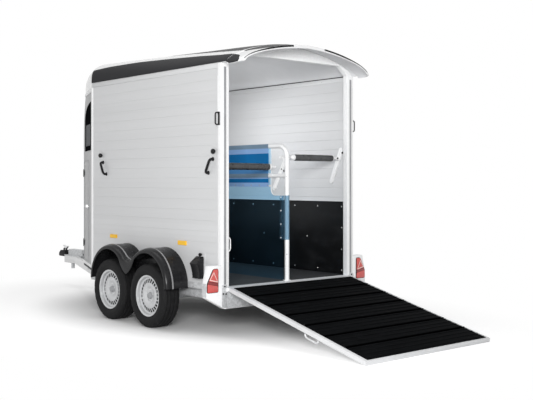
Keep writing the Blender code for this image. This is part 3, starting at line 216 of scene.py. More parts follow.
finishSet = {
    "zinc": ((0.560, 0.570, 0.580), 0.44, 0.45),
    "frameWhite": ((0.830, 0.834, 0.838), 0.40, 0.10),
    "plank": ((0.600, 0.605, 0.612), 0.42, 0.15),
    # the walls' planked silver made darker for the nose and its door: painted shade
    "noseSkin": ((0.335, 0.338, 0.343), 0.38, 0.10),
    "gelcoat": ((0.740, 0.742, 0.746), 0.28, 0.0),
    "ceiling": ((0.620, 0.625, 0.635), 0.50, 0.0),
    "blackTrim": ((0.012, 0.012, 0.013), 0.42, 0.0, 0.10),
    "bandGrey": ((0.030, 0.030, 0.032), 0.60, 0.0, 0.06),
    "guardPlastic": ((0.011, 0.011, 0.012), 0.26, 0.0, 0.17),
    # light grey of the mudguard bead: a painted highlight
    "guardShine": ((0.240, 0.240, 0.245), 0.30, 0.0, 0.30),
    "matRubber": ((0.0036, 0.0039, 0.0044), 0.85, 0.0, 0.02),
    "matSeam": ((0.0005, 0.0005, 0.0006), 0.90, 0.0, 0.0),
    "tyreRubber": ((0.0085, 0.0085, 0.0090), 0.74, 0.0, 0.16),
    "wheelPaint": ((0.520, 0.527, 0.536), 0.34, 0.35),
    "kickBoard": ((0.0060, 0.0062, 0.0068), 0.50, 0.0, 0.14),
    "sealRubber": ((0.0080, 0.0080, 0.0085), 0.62, 0.0, 0.08),
    "brightZinc": ((0.720, 0.725, 0.730), 0.30, 0.80),
    "grooveGrey": ((0.300, 0.305, 0.315), 0.45, 0.20),
    "barFoam": ((0.046, 0.047, 0.049), 0.30, 0.0, 0.45),
    # the black floor rubber made lighter for the stall floor: painted light
    "stallFloor": ((0.050, 0.051, 0.053), 0.60, 0.0, 0.06),
    "whitePlastic": ((0.780, 0.785, 0.790), 0.35, 0.0),
    "deepBlue": ((0.004, 0.120, 0.320), 0.50, 0.0, 0.06),
    # lighter blue of the partition panel: painted light of the wall showing through the sheet
    "periwinkle": ((0.200, 0.340, 0.590), 0.50, 0.0, 0.30),
    "midBlue": ((0.060, 0.200, 0.430), 0.50, 0.0, 0.10),
    # grey-blue of the partition panel: the tubes behind the sheet painted in, with their shade
    "tubeBlue": ((0.140, 0.215, 0.290), 0.46, 0.1, 0.30),
    "curtainBlue": ((0.390, 0.720, 0.960), 0.16, 0.0, 0.20),
    "sleeveBlue": ((0.230, 0.500, 0.740), 0.10, 0.0, 0.25),
    "brassRivet": ((0.330, 0.270, 0.190), 0.40, 0.6),
    "redLens": ((0.560, 0.070, 0.060), 0.16, 0.0),
    "darkRedLens": ((0.210, 0.012, 0.012), 0.18, 0.0),
    "paleLens": ((0.760, 0.560, 0.520), 0.18, 0.0),
    "amberLens": ((1.000, 0.500, 0.015), 0.40, 0.0, 0.10),
    "smokedPane": ((0.008, 0.0085, 0.009), 0.12, 0.0, 0.0),
    "paleLouvre": ((0.130, 0.134, 0.140), 0.40, 0.0, 0.004),
}
looks = {name: Finish(name, *values) for name, values in finishSet.items()}


# hot-dip zinc: crystal patches that differ in tone and gloss, with fine dull specks
def dressZinc(name, patch, contrast):
    finish = looks[name]
    patches = finish.node("ShaderNodeSeparateColor", {}, {0: finish.cells(patch)}, 0)
    cloud = finish.noise(9.0, 4.0)
    tone = patches * 0.6 + cloud * 0.4
    finish.put("Base Color", finish.tint(tone, 1.0 - contrast, 1.0 + contrast * 0.6))
    base = finishSet[name][1]
    finish.put("Roughness", tone.ramp(0.1, 0.9, base - 0.08, base + 0.12))
    finish.bump(finish.noise(160.0, 2.0), 0.0004, 0.25)


dressZinc("zinc", 70.0, 0.30)
dressZinc("frameWhite", 85.0, 0.06)
dressZinc("brightZinc", 220.0, 0.08)
dressZinc("brassRivet", 300.0, 0.10)


# drawn aluminium: streaks along the plank, a slight change from one plank to the next
def dressPlank(name, pitch, spread):
    finish = looks[name]
    streak = finish.noise(6.0, 5.0, (0.35, 60.0, 60.0))
    row = finish.axis(2) / pitch
    shade = (row.mathNode("FLOOR", row) * 12.9898).sine() * 43.7
    tone = streak * 0.55 + shade.wrap() * 0.45
    finish.put("Base Color", finish.tint(tone, 1.0 - spread, 1.0 + spread))
    finish.put("Roughness", streak.ramp(0.3, 0.7, finishSet[name][1] - 0.06, finishSet[name][1] + 0.08))
    finish.bump(finish.noise(40.0, 3.0, (0.5, 12.0, 12.0)), 0.0003, 0.3)


dressPlank("plank", 0.1, 0.045)
dressPlank("noseSkin", 0.1, 0.02)


# moulded and painted surfaces: faint clouding and a fine grain
def dressGrain(name, grain, depth, cloudScale, spread, dull=0.06):
    finish = looks[name]
    cloud = finish.noise(cloudScale, 4.0)
    finish.put("Base Color", finish.tint(cloud.ramp(0.3, 0.7), 1.0 - spread, 1.0 + spread))
    base = finishSet[name][1]
    finish.put("Roughness", cloud.ramp(0.25, 0.75, max(0.03, base - dull), base + dull))
    finish.bump(finish.noise(grain, 2.0), depth, 0.35)


for grainRow in (
    ("gelcoat", 90.0, 0.0001, 2.2, 0.012),
    ("ceiling", 300.0, 0.0004, 3.0, 0.04),
    ("blackTrim", 700.0, 0.0003, 6.0, 0.14),
    ("bandGrey", 240.0, 0.0003, 90.0, 0.10),
    ("guardPlastic", 900.0, 0.0003, 5.0, 0.18),
    ("matRubber", 420.0, 0.0006, 8.0, 0.25),
    ("sealRubber", 500.0, 0.0003, 9.0, 0.15),
    ("whitePlastic", 300.0, 0.0002, 8.0, 0.03),
    ("wheelPaint", 1400.0, 0.0001, 14.0, 0.05),
    ("grooveGrey", 300.0, 0.0003, 10.0, 0.08),
    ("paleLouvre", 300.0, 0.0002, 10.0, 0.05),
    ("barFoam", 520.0, 0.0008, 12.0, 0.15),
    ("stallFloor", 300.0, 0.0004, 60.0, 0.12),
    ("smokedPane", 30.0, 0.0001, 4.0, 0.10, 0.03),
):
    dressGrain(*grainRow)


# tyre: dusty bloom low on the tread, fine moulded grain
def dressTyre():
    finish = looks["tyreRubber"]
    dust = finish.noise(26.0, 5.0)
    finish.put("Base Color", finish.tint(dust.ramp(0.35, 0.75), 0.8, 1.6))
    finish.put("Roughness", dust.ramp(0.3, 0.7, 0.62, 0.82))
    finish.bump(finish.noise(700.0, 2.0), 0.0004, 0.4)


# phenolic board: a pressed mesh of small hexagon-like cells, scuffed lower down
def dressKick():
    finish = looks["kickBoard"]
    mesh = finish.cells(180.0, "DISTANCE_TO_EDGE", "Distance", (1.0, 0.0, 1.0))
    scuff = finish.noise(5.0, 6.0, (1.0, 1.0, 2.2))
    finish.put("Base Color", finish.tint(scuff.ramp(0.45, 0.8), 0.85, 1.9))
    finish.put("Roughness", scuff.ramp(0.35, 0.8, 0.36, 0.56))
    finish.bump(mesh.ramp(0.0, 0.12), 0.0005, 0.35)


# coated cloth: crossed threads under a smooth coat
def dressCloth(name, threads, depth, spread):
    finish = looks[name]
    along = (finish.axis(0) * threads * 2 * pi).sine()
    up = (finish.axis(2) * threads * 2 * pi).sine()
    weave = (along * up) * 0.5 + 0.5
    cloud = finish.noise(3.5, 5.0)
    finish.put(
        "Base Color", finish.tint(cloud.ramp(0.3, 0.7) * 0.8 + weave * 0.2, 1.0 - spread, 1.0 + spread)
    )
    finish.put("Roughness", cloud.ramp(0.3, 0.7, finishSet[name][1] - 0.06, finishSet[name][1] + 0.08))
    finish.bump(weave, depth, 0.3)


# clear tinted sheet: what stands behind shows through, under a faint haze with cloudy handling marks
def dressClear(name, passes, haze):
    finish = looks[name]
    cloud = finish.noise(2.5, 5.0).ramp(0.3, 0.7)
    finish.put("Base Color", finish.tint(cloud, 0.90, 1.04))
    finish.put("Roughness", cloud.ramp(0.0, 1.0, finishSet[name][1] - 0.04, finishSet[name][1] + 0.05))
    clear = finish.node("ShaderNodeBsdfTransparent", {}, {"Color": (*passes, 1.0)})
    share = cloud.ramp(0.0, 1.0, haze * 0.7, haze * 1.3)
    both = finish.node(
        "ShaderNodeMixShader", {}, {0: share, 1: clear, 2: Wire(finish, finish.shader.outputs[0])}
    )
    finish.tree.links.new(both.socket, finish.tree.nodes["Material Output"].inputs["Surface"])


# lens: fine prism grid behind a clear skin
def dressLens(name, pitch):
    finish = looks[name]
    prism = (finish.axis(1) * pitch * 2 * pi).sine() * (finish.axis(2) * pitch * 2 * pi).sine()
    finish.put("Base Color", finish.tint(prism * 0.5 + 0.5, 0.72, 1.25))
    finish.put("Coat Weight", 0.6)
    finish.bump(prism, 0.0006, 0.25)


dressTyre()
dressKick()
dressCloth("deepBlue", 650.0, 0.0002, 0.12)
dressCloth("periwinkle", 650.0, 0.0002, 0.08)
dressCloth("midBlue", 650.0, 0.0002, 0.10)
dressCloth("tubeBlue", 650.0, 0.0002, 0.10)
for lens in ("redLens", "darkRedLens", "paleLens", "amberLens"):
    dressLens(lens, 180.0)
dressClear("curtainBlue", (0.70, 0.885, 1.0), 0.003)
dressClear("sleeveBlue", (0.70, 0.78, 0.83), 0.05)
looks["gelcoat"].put("Coat Weight", 0.3)
print("finishes made", len(looks))


def mat(name):
    return looks[name].material


def at(x, y, z):
    return Vector((x + rearX, y, z))


def link(name, mesh):
    made = bpy.data.objects.new(name, mesh)
    scene.collection.objects.link(made)
    return made


# an object's evaluated shape as a plain mesh, with its modifiers gone
def settle(obj):
    graph = bpy.context.evaluated_depsgraph_get()
    mesh = bpy.data.meshes.new_from_object(obj.evaluated_get(graph))
    mesh.transform(obj.matrix_world)
    name = obj.name
    old = obj.data
    bpy.data.objects.remove(obj)
    if isinstance(old, bpy.types.Mesh):
        bpy.data.meshes.remove(old)
    else:
        bpy.data.curves.remove(old)
    mesh.name = name
    return link(name, mesh)


def shade(mesh, angle=35.0):
    mesh.shade_smooth()
    mesh.set_sharp_from_angle(angle=radians(angle))


def place(obj, body="chassis", slot=None, stands=()):
    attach(obj, body)
    if stands:
        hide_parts(*stands)
    return obj


# a finished piece from a bmesh: doubles merged, faces outward, edges over the angle sharp
def piece(name, shape, finishes, body="chassis", slot=None, stands=(), angle=35.0, merge=1e-5):
    bmesh.ops.remove_doubles(shape, verts=shape.verts, dist=merge)
    bmesh.ops.recalc_face_normals(shape, faces=shape.faces)
    mesh = bpy.data.meshes.new(name)
    shape.to_mesh(mesh)
    shape.free()
    for finish in [finishes] if isinstance(finishes, str) else finishes:
        mesh.materials.append(mat(finish))
    shade(mesh, angle)
    return place(link(name, mesh), body, slot, stands)


def rounded(obj, width, segments=2, angle=30.0):
    bevel = obj.modifiers.new("edge", "BEVEL")
    bevel.width = width
    bevel.segments = segments
    bevel.limit_method = "ANGLE"
    bevel.angle_limit = radians(angle)
    return obj


# a CAD node carried over with its edges broken and a finish of its own
def refine(node, finish, width=0.002, segments=2, slot=None, angle=35.0):
    source = frame["nodes"][node]
    shape = bmesh.new()
    shape.from_mesh(source.data)
    bmesh.ops.remove_doubles(shape, verts=shape.verts, dist=1e-5)
    bmesh.ops.dissolve_limit(shape, angle_limit=radians(0.5), verts=shape.verts, edges=shape.edges)
    mesh = bpy.data.meshes.new(node + "Finish")
    shape.to_mesh(mesh)
    shape.free()
    mesh.materials.clear()
    mesh.materials.append(mat(finish))
    made = link(node + "Finish", mesh)
    if width:
        made = settle(rounded(made, width, segments))
    shade(made.data, angle)
    return place(made, source["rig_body"], slot, (node,))


def box(shape, low, high, bevel=0.0):
    verts = bmesh.ops.create_cube(shape, size=1.0)["verts"]
    low, high = Vector(low), Vector(high)
    for v in verts:
        v.co = Vector((v.co[i] * (high - low)[i] for i in range(3))) + (low + high) / 2
    if bevel:
        edges = list({e for v in verts for e in v.link_edges})
        bmesh.ops.bevel(shape, geom=edges, offset=bevel, segments=2, affect="EDGES", profile=0.5)
    return verts


# a flat outline in (first, second) axes, thickened along the third axis
def slab(shape, points, plane, low, high):
    axes = {"xz": (0, 2, 1), "yz": (1, 2, 0), "xy": (0, 1, 2)}[plane]
    rings = []
    for level in (low, high):
        ring = []
        for a, b in points:
            co = [0.0, 0.0, 0.0]
            co[axes[0]], co[axes[1]], co[axes[2]] = a, b, level
            ring.append(shape.verts.new(at(*co)))
        rings.append(ring)
    shape.faces.new(rings[0])
    shape.faces.new(list(reversed(rings[1])))
    count = len(points)
    for i in range(count):
        k = (i + 1) % count
        shape.faces.new((rings[0][i], rings[0][k], rings[1][k], rings[1][i]))


# a closed profile of (radius, along) points turned about an axis through a centre
def turned(shape, profile, centre, axis, steps=48, closed=True):
    turnTo = Vector(axis).normalized().to_track_quat("Z", "Y").to_matrix()
    rings = []
    for k in range(steps):
        t = 2 * pi * k / steps
        rings.append(
            [shape.verts.new(centre + turnTo @ Vector((r * cos(t), r * sin(t), z))) for r, z in profile]
        )
    count = len(profile)
    for k in range(steps):
        a, b = rings[k], rings[(k + 1) % steps]
        for i in range(count if closed else count - 1):
            j = (i + 1) % count
            loop = [a[i], b[i], b[j], a[j]]
            if profile[i][0] < 1e-7:
                loop = [a[i], b[j], a[j]]
            elif profile[j][0] < 1e-7:
                loop = [a[i], b[i], a[j]]
            if len({v for v in loop}) > 2:
                shape.faces.new(loop)
    return rings


# a round tube of any radius along a route of points
def pipe(shape, route, radius, sides=12, caps=True):
    count = len(route)
    rings = []
    side = None
    for i, p in enumerate(route):
        p = Vector(p)
        ahead = Vector(route[min(i + 1, count - 1)]) - Vector(route[max(i - 1, 0)])
        ahead.normalize()
        if side is None:
            side = ahead.orthogonal().normalized()
        side = (side - ahead * side.dot(ahead)).normalized()
        other = ahead.cross(side)
        size = radius[i] if isinstance(radius, (list, tuple)) else radius
        rings.append(
            [
                shape.verts.new(
                    p + (side * cos(2 * pi * k / sides) + other * sin(2 * pi * k / sides)) * size
                )
                for k in range(sides)
            ]
        )
    for a, b in zip(rings, rings[1:]):
        for k in range(sides):
            shape.faces.new((a[k], a[(k + 1) % sides], b[(k + 1) % sides], b[k]))
    if caps:
        shape.faces.new(rings[0])
        shape.faces.new(rings[-1])
    return rings


# rows of points joined into a skin; a second set of rows closes it into a wall
def skin(shape, outer, inner=None, finishOf=None):
    sheets = [outer] if inner is None else [outer, inner]
    grids = [[[shape.verts.new(p) for p in row] for row in rows] for rows in sheets]
    rows, columns = len(outer), len(outer[0])
    for n, grid in enumerate(grids):
        for i in range(rows - 1):
            for j in range(columns - 1):
                face = shape.faces.new((grid[i][j], grid[i][j + 1], grid[i + 1][j + 1], grid[i + 1][j]))
                if finishOf:
                    face.material_index = finishOf(n, i, j)
    if inner is not None:
        a, b = grids
        for i in (0, rows - 1):
            for j in range(columns - 1):
                shape.faces.new((a[i][j], a[i][j + 1], b[i][j + 1], b[i][j]))
        for j in (0, columns - 1):
            for i in range(rows - 1):
                shape.faces.new((a[i][j], a[i + 1][j], b[i + 1][j], b[i][j]))


def arcPoints(centre, radius, start, end, steps):
    out = []
    for i in range(steps + 1):
        t = radians(start + (end - start) * i / steps)
        out.append((centre[0] + radius * cos(t), centre[1] + radius * sin(t)))
    return out


def roundCorners(corners, radius, steps=4):
    points = []
    count = len(corners)
    for i in range(count):
        before, here, after = (Vector(corners[(i + k) % count]) for k in (-1, 0, 1))
        a, b = (before - here), (after - here)
        cut = min(radius, a.length * 0.45, b.length * 0.45)
        start, end = here + a.normalized() * cut, here + b.normalized() * cut
        for k in range(steps + 1):
            t = k / steps
            points.append(tuple(start * (1 - t) ** 2 + here * 2 * t * (1 - t) + end * t * t))
    return points


# rounded rectangle between two opposite corners
def roundedBox(a, low, b, high, radius, steps):
    return roundCorners([(a, low), (b, low), (b, high), (a, high)], radius, steps)


def capsulePoints(start, end, radius, steps=8):
    lean = math.degrees(math.atan2(end[1] - start[1], end[0] - start[0]))
    nearEnd = arcPoints(end, radius, lean - 90, lean + 90, steps)
    return nearEnd + arcPoints(start, radius, lean + 90, lean + 270, steps)


# geometry nodes: one small turned head at each point, facing the point's own direction
headSet = {"rivet": (0.006, 0.0022, 10), "screw": (0.009, 0.004, 12), "bolt": (0.011, 0.007, 6)}


def headTree(kind, finish):
    radius, height, steps = headSet[kind]
    tree = bpy.data.node_groups.new(kind + "Heads", "GeometryNodeTree")
    face = tree.interface
    face.new_socket("Points", in_out="INPUT", socket_type="NodeSocketGeometry")
    for label, value in (("Radius", radius), ("Height", height)):
        face.new_socket(label, in_out="INPUT", socket_type="NodeSocketFloat").default_value = value
    face.new_socket("Heads", in_out="OUTPUT", socket_type="NodeSocketGeometry")
    graph = Graph(tree)
    start = tree.nodes.new("NodeGroupInput")
    points, size, tall = (Wire(graph, start.outputs[k]) for k in range(3))
    cone = graph.node(
        "GeometryNodeMeshCone",
        {"fill_type": "NGON"},
        {"Vertices": steps, "Radius Top": size * 0.62, "Radius Bottom": size, "Depth": tall},
        "Mesh",
    )
    facing = graph.node("GeometryNodeInputNamedAttribute", {"data_type": "FLOAT_VECTOR"}, {"Name": "facing"})
    turn = graph.node("FunctionNodeAlignRotationToVector", {"axis": "Z"}, {"Vector": facing})
    heads = graph.node(
        "GeometryNodeInstanceOnPoints", {}, {"Points": points, "Instance": cone, "Rotation": turn}
    )
    real = graph.node("GeometryNodeRealizeInstances", {}, {"Geometry": heads})
    done = graph.node("GeometryNodeSetMaterial", {}, {"Geometry": real, "Material": mat(finish)})
    stop = tree.nodes.new("NodeGroupOutput")
    tree.links.new(done.socket, stop.inputs[0])
    return tree


# fasteners at (place, direction) pairs, on one body
def heads(name, spots, kind, finish, body="chassis", radius=None, height=None):
    mesh = bpy.data.meshes.new(name)
    mesh.from_pydata([p for p, d in spots], [], [])
    facing = mesh.attributes.new("facing", "FLOAT_VECTOR", "POINT")
    for item, (p, d) in zip(facing.data, spots):
        item.vector = d
    obj = link(name, mesh)
    tree = headTree(kind, finish)
    modifier = obj.modifiers.new("heads", "NODES")
    modifier.node_group = tree
    sockets = {s.name: s.identifier for s in tree.interface.items_tree if s.in_out == "INPUT"}
    for label, value in (("Radius", radius), ("Height", height)):
        if value:
            modifier[sockets[label]] = value
    made = settle(obj)
    made.data.materials.clear()
    made.data.materials.append(mat(finish))
    shade(made.data, 40)
    return place(made, body)


# Geometry nodes: the object's own mesh repeated along a line
def repeatTree(name, finish, count, step):
    tree = bpy.data.node_groups.new(name, "GeometryNodeTree")
    face = tree.interface
    face.new_socket("Unit", in_out="INPUT", socket_type="NodeSocketGeometry")
    face.new_socket("Count", in_out="INPUT", socket_type="NodeSocketInt").default_value = count
    face.new_socket("Step", in_out="INPUT", socket_type="NodeSocketVector").default_value = step
    face.new_socket("Row", in_out="OUTPUT", socket_type="NodeSocketGeometry")
    graph = Graph(tree)
    start = tree.nodes.new("NodeGroupInput")
    unit, number, offset = (Wire(graph, start.outputs[k]) for k in range(3))
    line = graph.node("GeometryNodeMeshLine", {"mode": "OFFSET"}, {"Count": number, "Offset": offset})
    row = graph.node("GeometryNodeInstanceOnPoints", {}, {"Points": line, "Instance": unit})
    real = graph.node("GeometryNodeRealizeInstances", {}, {"Geometry": row})
    done = graph.node("GeometryNodeSetMaterial", {}, {"Geometry": real, "Material": mat(finish)})
    stop = tree.nodes.new("NodeGroupOutput")
    tree.links.new(done.socket, stop.inputs[0])
    return tree


# a unit shape repeated in a row, then moved by a matrix, as one piece
def repeated(name, shape, finish, count, step, body="chassis", slot=None, stands=(), move=None, angle=35.0):
    bmesh.ops.remove_doubles(shape, verts=shape.verts, dist=1e-6)
    bmesh.ops.recalc_face_normals(shape, faces=shape.faces)
    mesh = bpy.data.meshes.new(name)
    shape.to_mesh(mesh)
    shape.free()
    obj = link(name, mesh)
    obj.modifiers.new("row", "NODES").node_group = repeatTree(name + "Row", finish, count, step)
    made = settle(obj)
    made.data.materials.clear()
    made.data.materials.append(mat(finish))
    if move is not None:
        made.data.transform(move)
    shade(made.data, angle)
    return place(made, body, slot, stands)


# side walls: stacked hollow planks, a top rail, a foot trim and the corner post at the nose
wallSet = {
    "planks": 20, "thick": 0.025, "front": -2.3197, "rear": -0.0603, "railLow": 2.43, "groove": 0.0022,
    "deep": 0.0013
}


def makeWalls():
    w = wallSet
    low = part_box("side_wall_left")[0].z
    pitch = (w["railLow"] - low) / w["planks"]
    for label, side in sides:
        g, d, t = w["groove"], w["deep"], w["thick"]
        profile = [
            (half - d, 0.0001), (half, g), (half, pitch - g), (half - d, pitch - 0.0001),
            (half - t + d, pitch - 0.0001), (half - t, pitch - g), (half - t, g), (half - t + d, 0.0001),
        ]
        shape = bmesh.new()
        slab(shape, [(side * y, low + z) for y, z in profile], "yz", w["front"], w["rear"])
        repeated(
            "wallPlanks" + label.title(), shape, "plank", w["planks"], (0.0, 0.0, pitch),
            slot="silver_panel", stands=("side_wall_" + label,), angle=20,
        )
        shape = bmesh.new()
        inner, outer = sorted((side * (half - t - 0.003), side * (half + 0.004)))
        box(shape, at(w["front"], inner, w["railLow"] + 0.0004), at(w["rear"], outer, wallTop), 0.003)
        piece("topRail" + label.title(), shape, "plank", slot="silver_panel")
        shape = bmesh.new()
        inner, outer = sorted((side * (half + 0.0004), side * (half + 0.0034)))
        box(shape, at(w["front"], inner, 0.405), at(w["rear"], outer, 0.463), 0.001)
        piece("footTrim" + label.title(), shape, "zinc", slot="galvanised_steel")
        shape = bmesh.new()
        points = [
            (-2.340, half - 0.006), (-2.332, half + 0.0040), (-2.318, half + 0.0062),
            (-2.296, half + 0.0048), (-2.292, half + 0.0005), (-2.318, half + 0.0005)
        ]
        slab(shape, [(x, side * y) for x, y in points], "xy", low + 0.001, w["railLow"])
        piece("cornerPost" + label.title(), shape, "frameWhite", slot="silver_panel", angle=50)


makeWalls()


# roof shell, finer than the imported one, with a thick rim at the tail, side bands and black shoulders
roofSet = {
    "half": 0.855, "skin": 0.020, "rim": 0.030, "rimStart": 0.200, "riseRear": 0.205, "riseFront": 0.265,
    "slope": 0.27, "over": 0.25, "inset": 0.050, "tail": 0.10, "raise": 0.024, "lip": 0.022,
    "lipStart": 0.080,
    "power": 1.6, "hoodPower": 4.0, "hoodStart": 0.23, "side": 2.32, "seam": 2.43, "arc": 60,
}
noseSet = {"cheek": 0.70, "inset": 0.29, "length": 0.78, "flat": 0.90, "lean": 0.045, "leanFrom": 1.90}
bandSet = {
    "start": -2.316, "stop": 0.220, "capStop": -2.272,
    "edge": (
        (-2.316, 2.6185), (-2.03, 2.6345), (-1.53, 2.6396), (-1.03, 2.624), (-0.52, 2.597), (-0.16, 2.568),
        (0.026, 2.5586), (0.082, 2.549), (0.14, 2.537), (0.19, 2.518), (0.212, 2.500), (0.220, 2.486),
    ),
    "shoulderOut": (
        (-1.30, 0.50), (-0.90, 0.545), (-0.444, 0.598), (-0.184, 0.633), (0.074, 0.663), (0.152, 0.600),
        (0.22, 0.560), (0.247, 0.490),
    ),
    "shoulderIn": ((-1.30, 0.48), (-0.90, 0.36), (-0.40, 0.25), (0.247, 0.20)),
}


def between(table, x):
    if x <= table[0][0]:
        return table[0][1]
    for (ax, ay), (bx, by) in zip(table, table[1:]):
        if x <= bx:
            return ay + (by - ay) * (x - ax) / (bx - ax)
    return table[-1][1]


def smoothStep(t):
    t = min(1.0, max(0.0, t))
    return t * t * (3 - 2 * t)


def nosePlan(height, steps=10):
    n = noseSet
    lean = n["lean"] * max(0.0, (height - n["leanFrom"]) / (roofSet["seam"] - n["leanFrom"])) ** 2
    start = Vector((-roofSet["side"], -half))
    cheek = Vector((-roofSet["side"] - n["cheek"] + lean, -half + n["inset"]))
    front = -roofSet["side"] - n["length"] + lean
    flat = Vector((front, -n["flat"] / 2))
    corner = cheek + (cheek - start) * ((front - cheek.x) / (cheek.x - start.x))
    line = [start]
    for k in range(steps + 1):
        t = k / steps
        line.append(cheek * (1 - t) ** 2 + corner * 2 * t * (1 - t) + flat * t * t)
    return line


def noseHalf(x):
    plan = nosePlan(roofSet["seam"])
    for a, b in zip(plan, plan[1:]):
        if b.x <= x <= a.x and a.x > b.x:
            return -(a.y + (b.y - a.y) * (a.x - x) / (a.x - b.x))
    return noseSet["flat"] / 2


def roofRise(x):
    r = roofSet
    return r["riseRear"] + (r["riseFront"] - r["riseRear"]) * (1 - math.exp((x - r["over"]) / r["slope"]))


def roofPower(x):
    r = roofSet
    t = min(1.0, max(0.0, -x / (r["side"] + r["hoodStart"])))
    return r["power"] + (r["hoodPower"] - r["power"]) * t ** 2


def roofArch(x, wide, eave, crown, power, steps):
    row = []
    for k in range(steps + 1):
        t = pi * k / steps
        across = abs(cos(t)) ** (2 / power) * (-1 if cos(t) > 0 else 1)
        row.append(at(x, wide * across, eave + (crown - eave) * abs(sin(t)) ** (2 / power)))
    return row


# width, eave and crown of the roof behind the nose
def roofSection(x):
    r = roofSet
    eave = wallTop + 0.0003
    wide = r["half"]
    if x > r["lipStart"]:
        eave = wallTop - r["lip"]
    start = r["over"] - r["tail"]
    if x > start:
        share = 1 - math.sqrt(max(0.0, 1 - ((x - start) / r["tail"]) ** 2))
        wide -= r["inset"] * share
        eave += r["raise"] * share
    return wide, eave, wallTop + roofRise(x)


def makeRoof():
    r = roofSet
    outer, inner = [], []
    places = [r["over"] - r["tail"] * (1 - cos(pi / 2 * k / 10)) for k in range(11)]
    places += [0.115, r["lipStart"] + 0.0006, r["lipStart"] - 0.0006, 0.04, 0.0]
    places += [-(r["side"] - 0.0003) * k / 28 for k in range(1, 29)]
    for x in places:
        wide, eave, crown = roofSection(x)
        power = roofPower(x)
        thick = r["skin"] + (r["rim"] - r["skin"]) * smoothStep((x - r["rimStart"]) / 0.03)
        outer.append(roofArch(x, wide, eave, crown, power, r["arc"]))
        inner.append(roofArch(x, wide - thick, eave, crown - thick, power, r["arc"]))
    low = r["seam"] + 0.0003
    start = -r["side"] - r["hoodStart"]
    tip = nosePlan(r["seam"])[-1].x
    hood = [(-r["side"] - 0.0032, 1.0), (-r["side"] - 0.08, 1.0), (-r["side"] - 0.16, 1.0)]
    for k in range(19):
        t = pi / 2 * k / 18
        hood.append(
            (
                start + (tip - start) * sin(t) ** (2 / r["hoodPower"]),
                max(0.0, cos(t)) ** (2 / r["hoodPower"])
            )
        )
    for x, height in hood:
        innerX = x if x >= start else start + (x - start) * (tip + r["skin"] - start) / (tip - start)
        top = wallTop + roofRise(x)
        power = roofPower(x)
        outer.append(roofArch(x, noseHalf(x), low, low + (top - low) * height, power, r["arc"]))
        inside = noseHalf(innerX) - r["skin"]
        inner.append(roofArch(innerX, inside, low, low + (top - r["skin"] - low) * height, power, r["arc"]))
    shape = bmesh.new()
    skin(shape, outer, inner, lambda n, i, j: n)
    piece("roofShell", shape, ("gelcoat", "ceiling"), slot="white_shell", stands=("roof",), angle=40)


# a point on the roof's outer skin at a height, pushed out along the skin's normal
def roofSpot(x, side, height, lift):
    wide, eave, crown = roofSection(x)
    power = roofPower(x)

    def spot(z):
        share = min(1.0, max(0.0, (z - eave) / (crown - eave)))
        turn = math.asin(min(1.0, share ** (power / 2)))
        return Vector((x, side * wide * abs(cos(turn)) ** (2 / power), z))

    here = spot(height)
    along = (spot(min(crown, height + 0.002)) - spot(max(eave, height - 0.002))).normalized()
    out = Vector((0.0, along.z * side, abs(along.y))).normalized()
    moved = here + out * lift
    return at(*moved)


# the height of the roof's outer skin at a distance from the middle
def roofHeight(x, across):
    wide, eave, crown = roofSection(x)
    power = roofPower(x)
    return eave + (crown - eave) * max(0.0, 1 - (across / wide) ** power) ** (1 / power)


# a thin patch lying on the roof's skin, given as columns of x and heights
def roofPatch(name, columns, side, lift, finish):
    outer, inner = [], []
    for x, heights in columns:
        last = len(heights) - 1
        lifts = [lift if 0 < k < last else lift * 0.5 for k in range(last + 1)]
        outer.append([roofSpot(x, side, z, up) for z, up in zip(heights, lifts)])
        inner.append([roofSpot(x, side, z, 0.0002) for z in heights])
    shape = bmesh.new()
    skin(shape, outer, inner)
    piece(name, shape, finish, slot="charcoal_plastic", angle=50)


def spread(a, b, steps):
    return [a + (b - a) * k / steps for k in range(steps + 1)]


def bandColumn(x):
    low = roofSection(x)[1] + 0.003
    return x, spread(low, max(between(bandSet["edge"], x), low + 0.004), 12)


def shoulderColumn(x):
    near, far = (between(bandSet[key], x) for key in ("shoulderOut", "shoulderIn"))
    return x, [roofHeight(x, across) for across in spread(near, far, 10)]


def makeBands():
    b = bandSet
    for label, side in sides:
        tag = label.title()
        columns = [bandColumn(x) for x in spread(b["start"], b["capStop"], 3)]
        roofPatch("bandEnd" + tag, columns, side, 0.0036, "blackTrim")
        columns = [bandColumn(x) for x in spread(b["capStop"] + 0.0004, b["stop"], 48)]
        roofPatch("roofBand" + tag, columns, side, 0.0034, "bandGrey")
        columns = [shoulderColumn(x) for x in spread(b["shoulderIn"][0][0], roofSet["over"] - 0.003, 32)]
        roofPatch("roofShoulder" + tag, columns, side, 0.0018, "blackTrim")
        rows = ([], [], [], [])
        for across in spread(0.20, 0.794, 24):
            z = roofHeight(roofSet["over"], across)
            deep = 0.015 - 0.009 * smoothStep((across - 0.45) / 0.34)
            for row, lift, out in zip(
                rows, (-0.0006, -deep, -deep, -0.0006), (0.0002, 0.0002, 0.0016, 0.0016)
            ):
                row.append(roofSpot(roofSet["over"], side, z, lift) + Vector((out, 0.0, 0.0)))
        shape = bmesh.new()
        skin(shape, rows[2:], rows[1::-1])
        piece("rimEdging" + tag, shape, "blackTrim", slot="charcoal_plastic", angle=50)
        # dark strip along the inner top of each wall: a painted shadow line where the roof meets the wall
        shape = bmesh.new()
        near, far = sorted((side * 0.8215, side * 0.8330))
        box(shape, at(-2.300, near, wallTop + 0.0008), at(-0.062, far, wallTop + 0.0080), 0.0015)
        piece("ceilingSeal" + tag, shape, "sealRubber", slot="charcoal_plastic")


makeRoof()
makeBands()
print("body skins made")


# double mudguards with a rolled shoulder, a crease along the crown and a turned lower edge; the pale bead
# along the shoulder is a painted highlight
guardSet = {
    "radius": 0.365, "level": 0.400, "front": -1.578, "rear": -0.878, "valley": 0.63, "flat": 0.170,
    "shoulder": 0.075,
    "sheet": 0.004, "skirt": 0.050, "tip": 0.486, "arc": 40, "dip": 16,
}


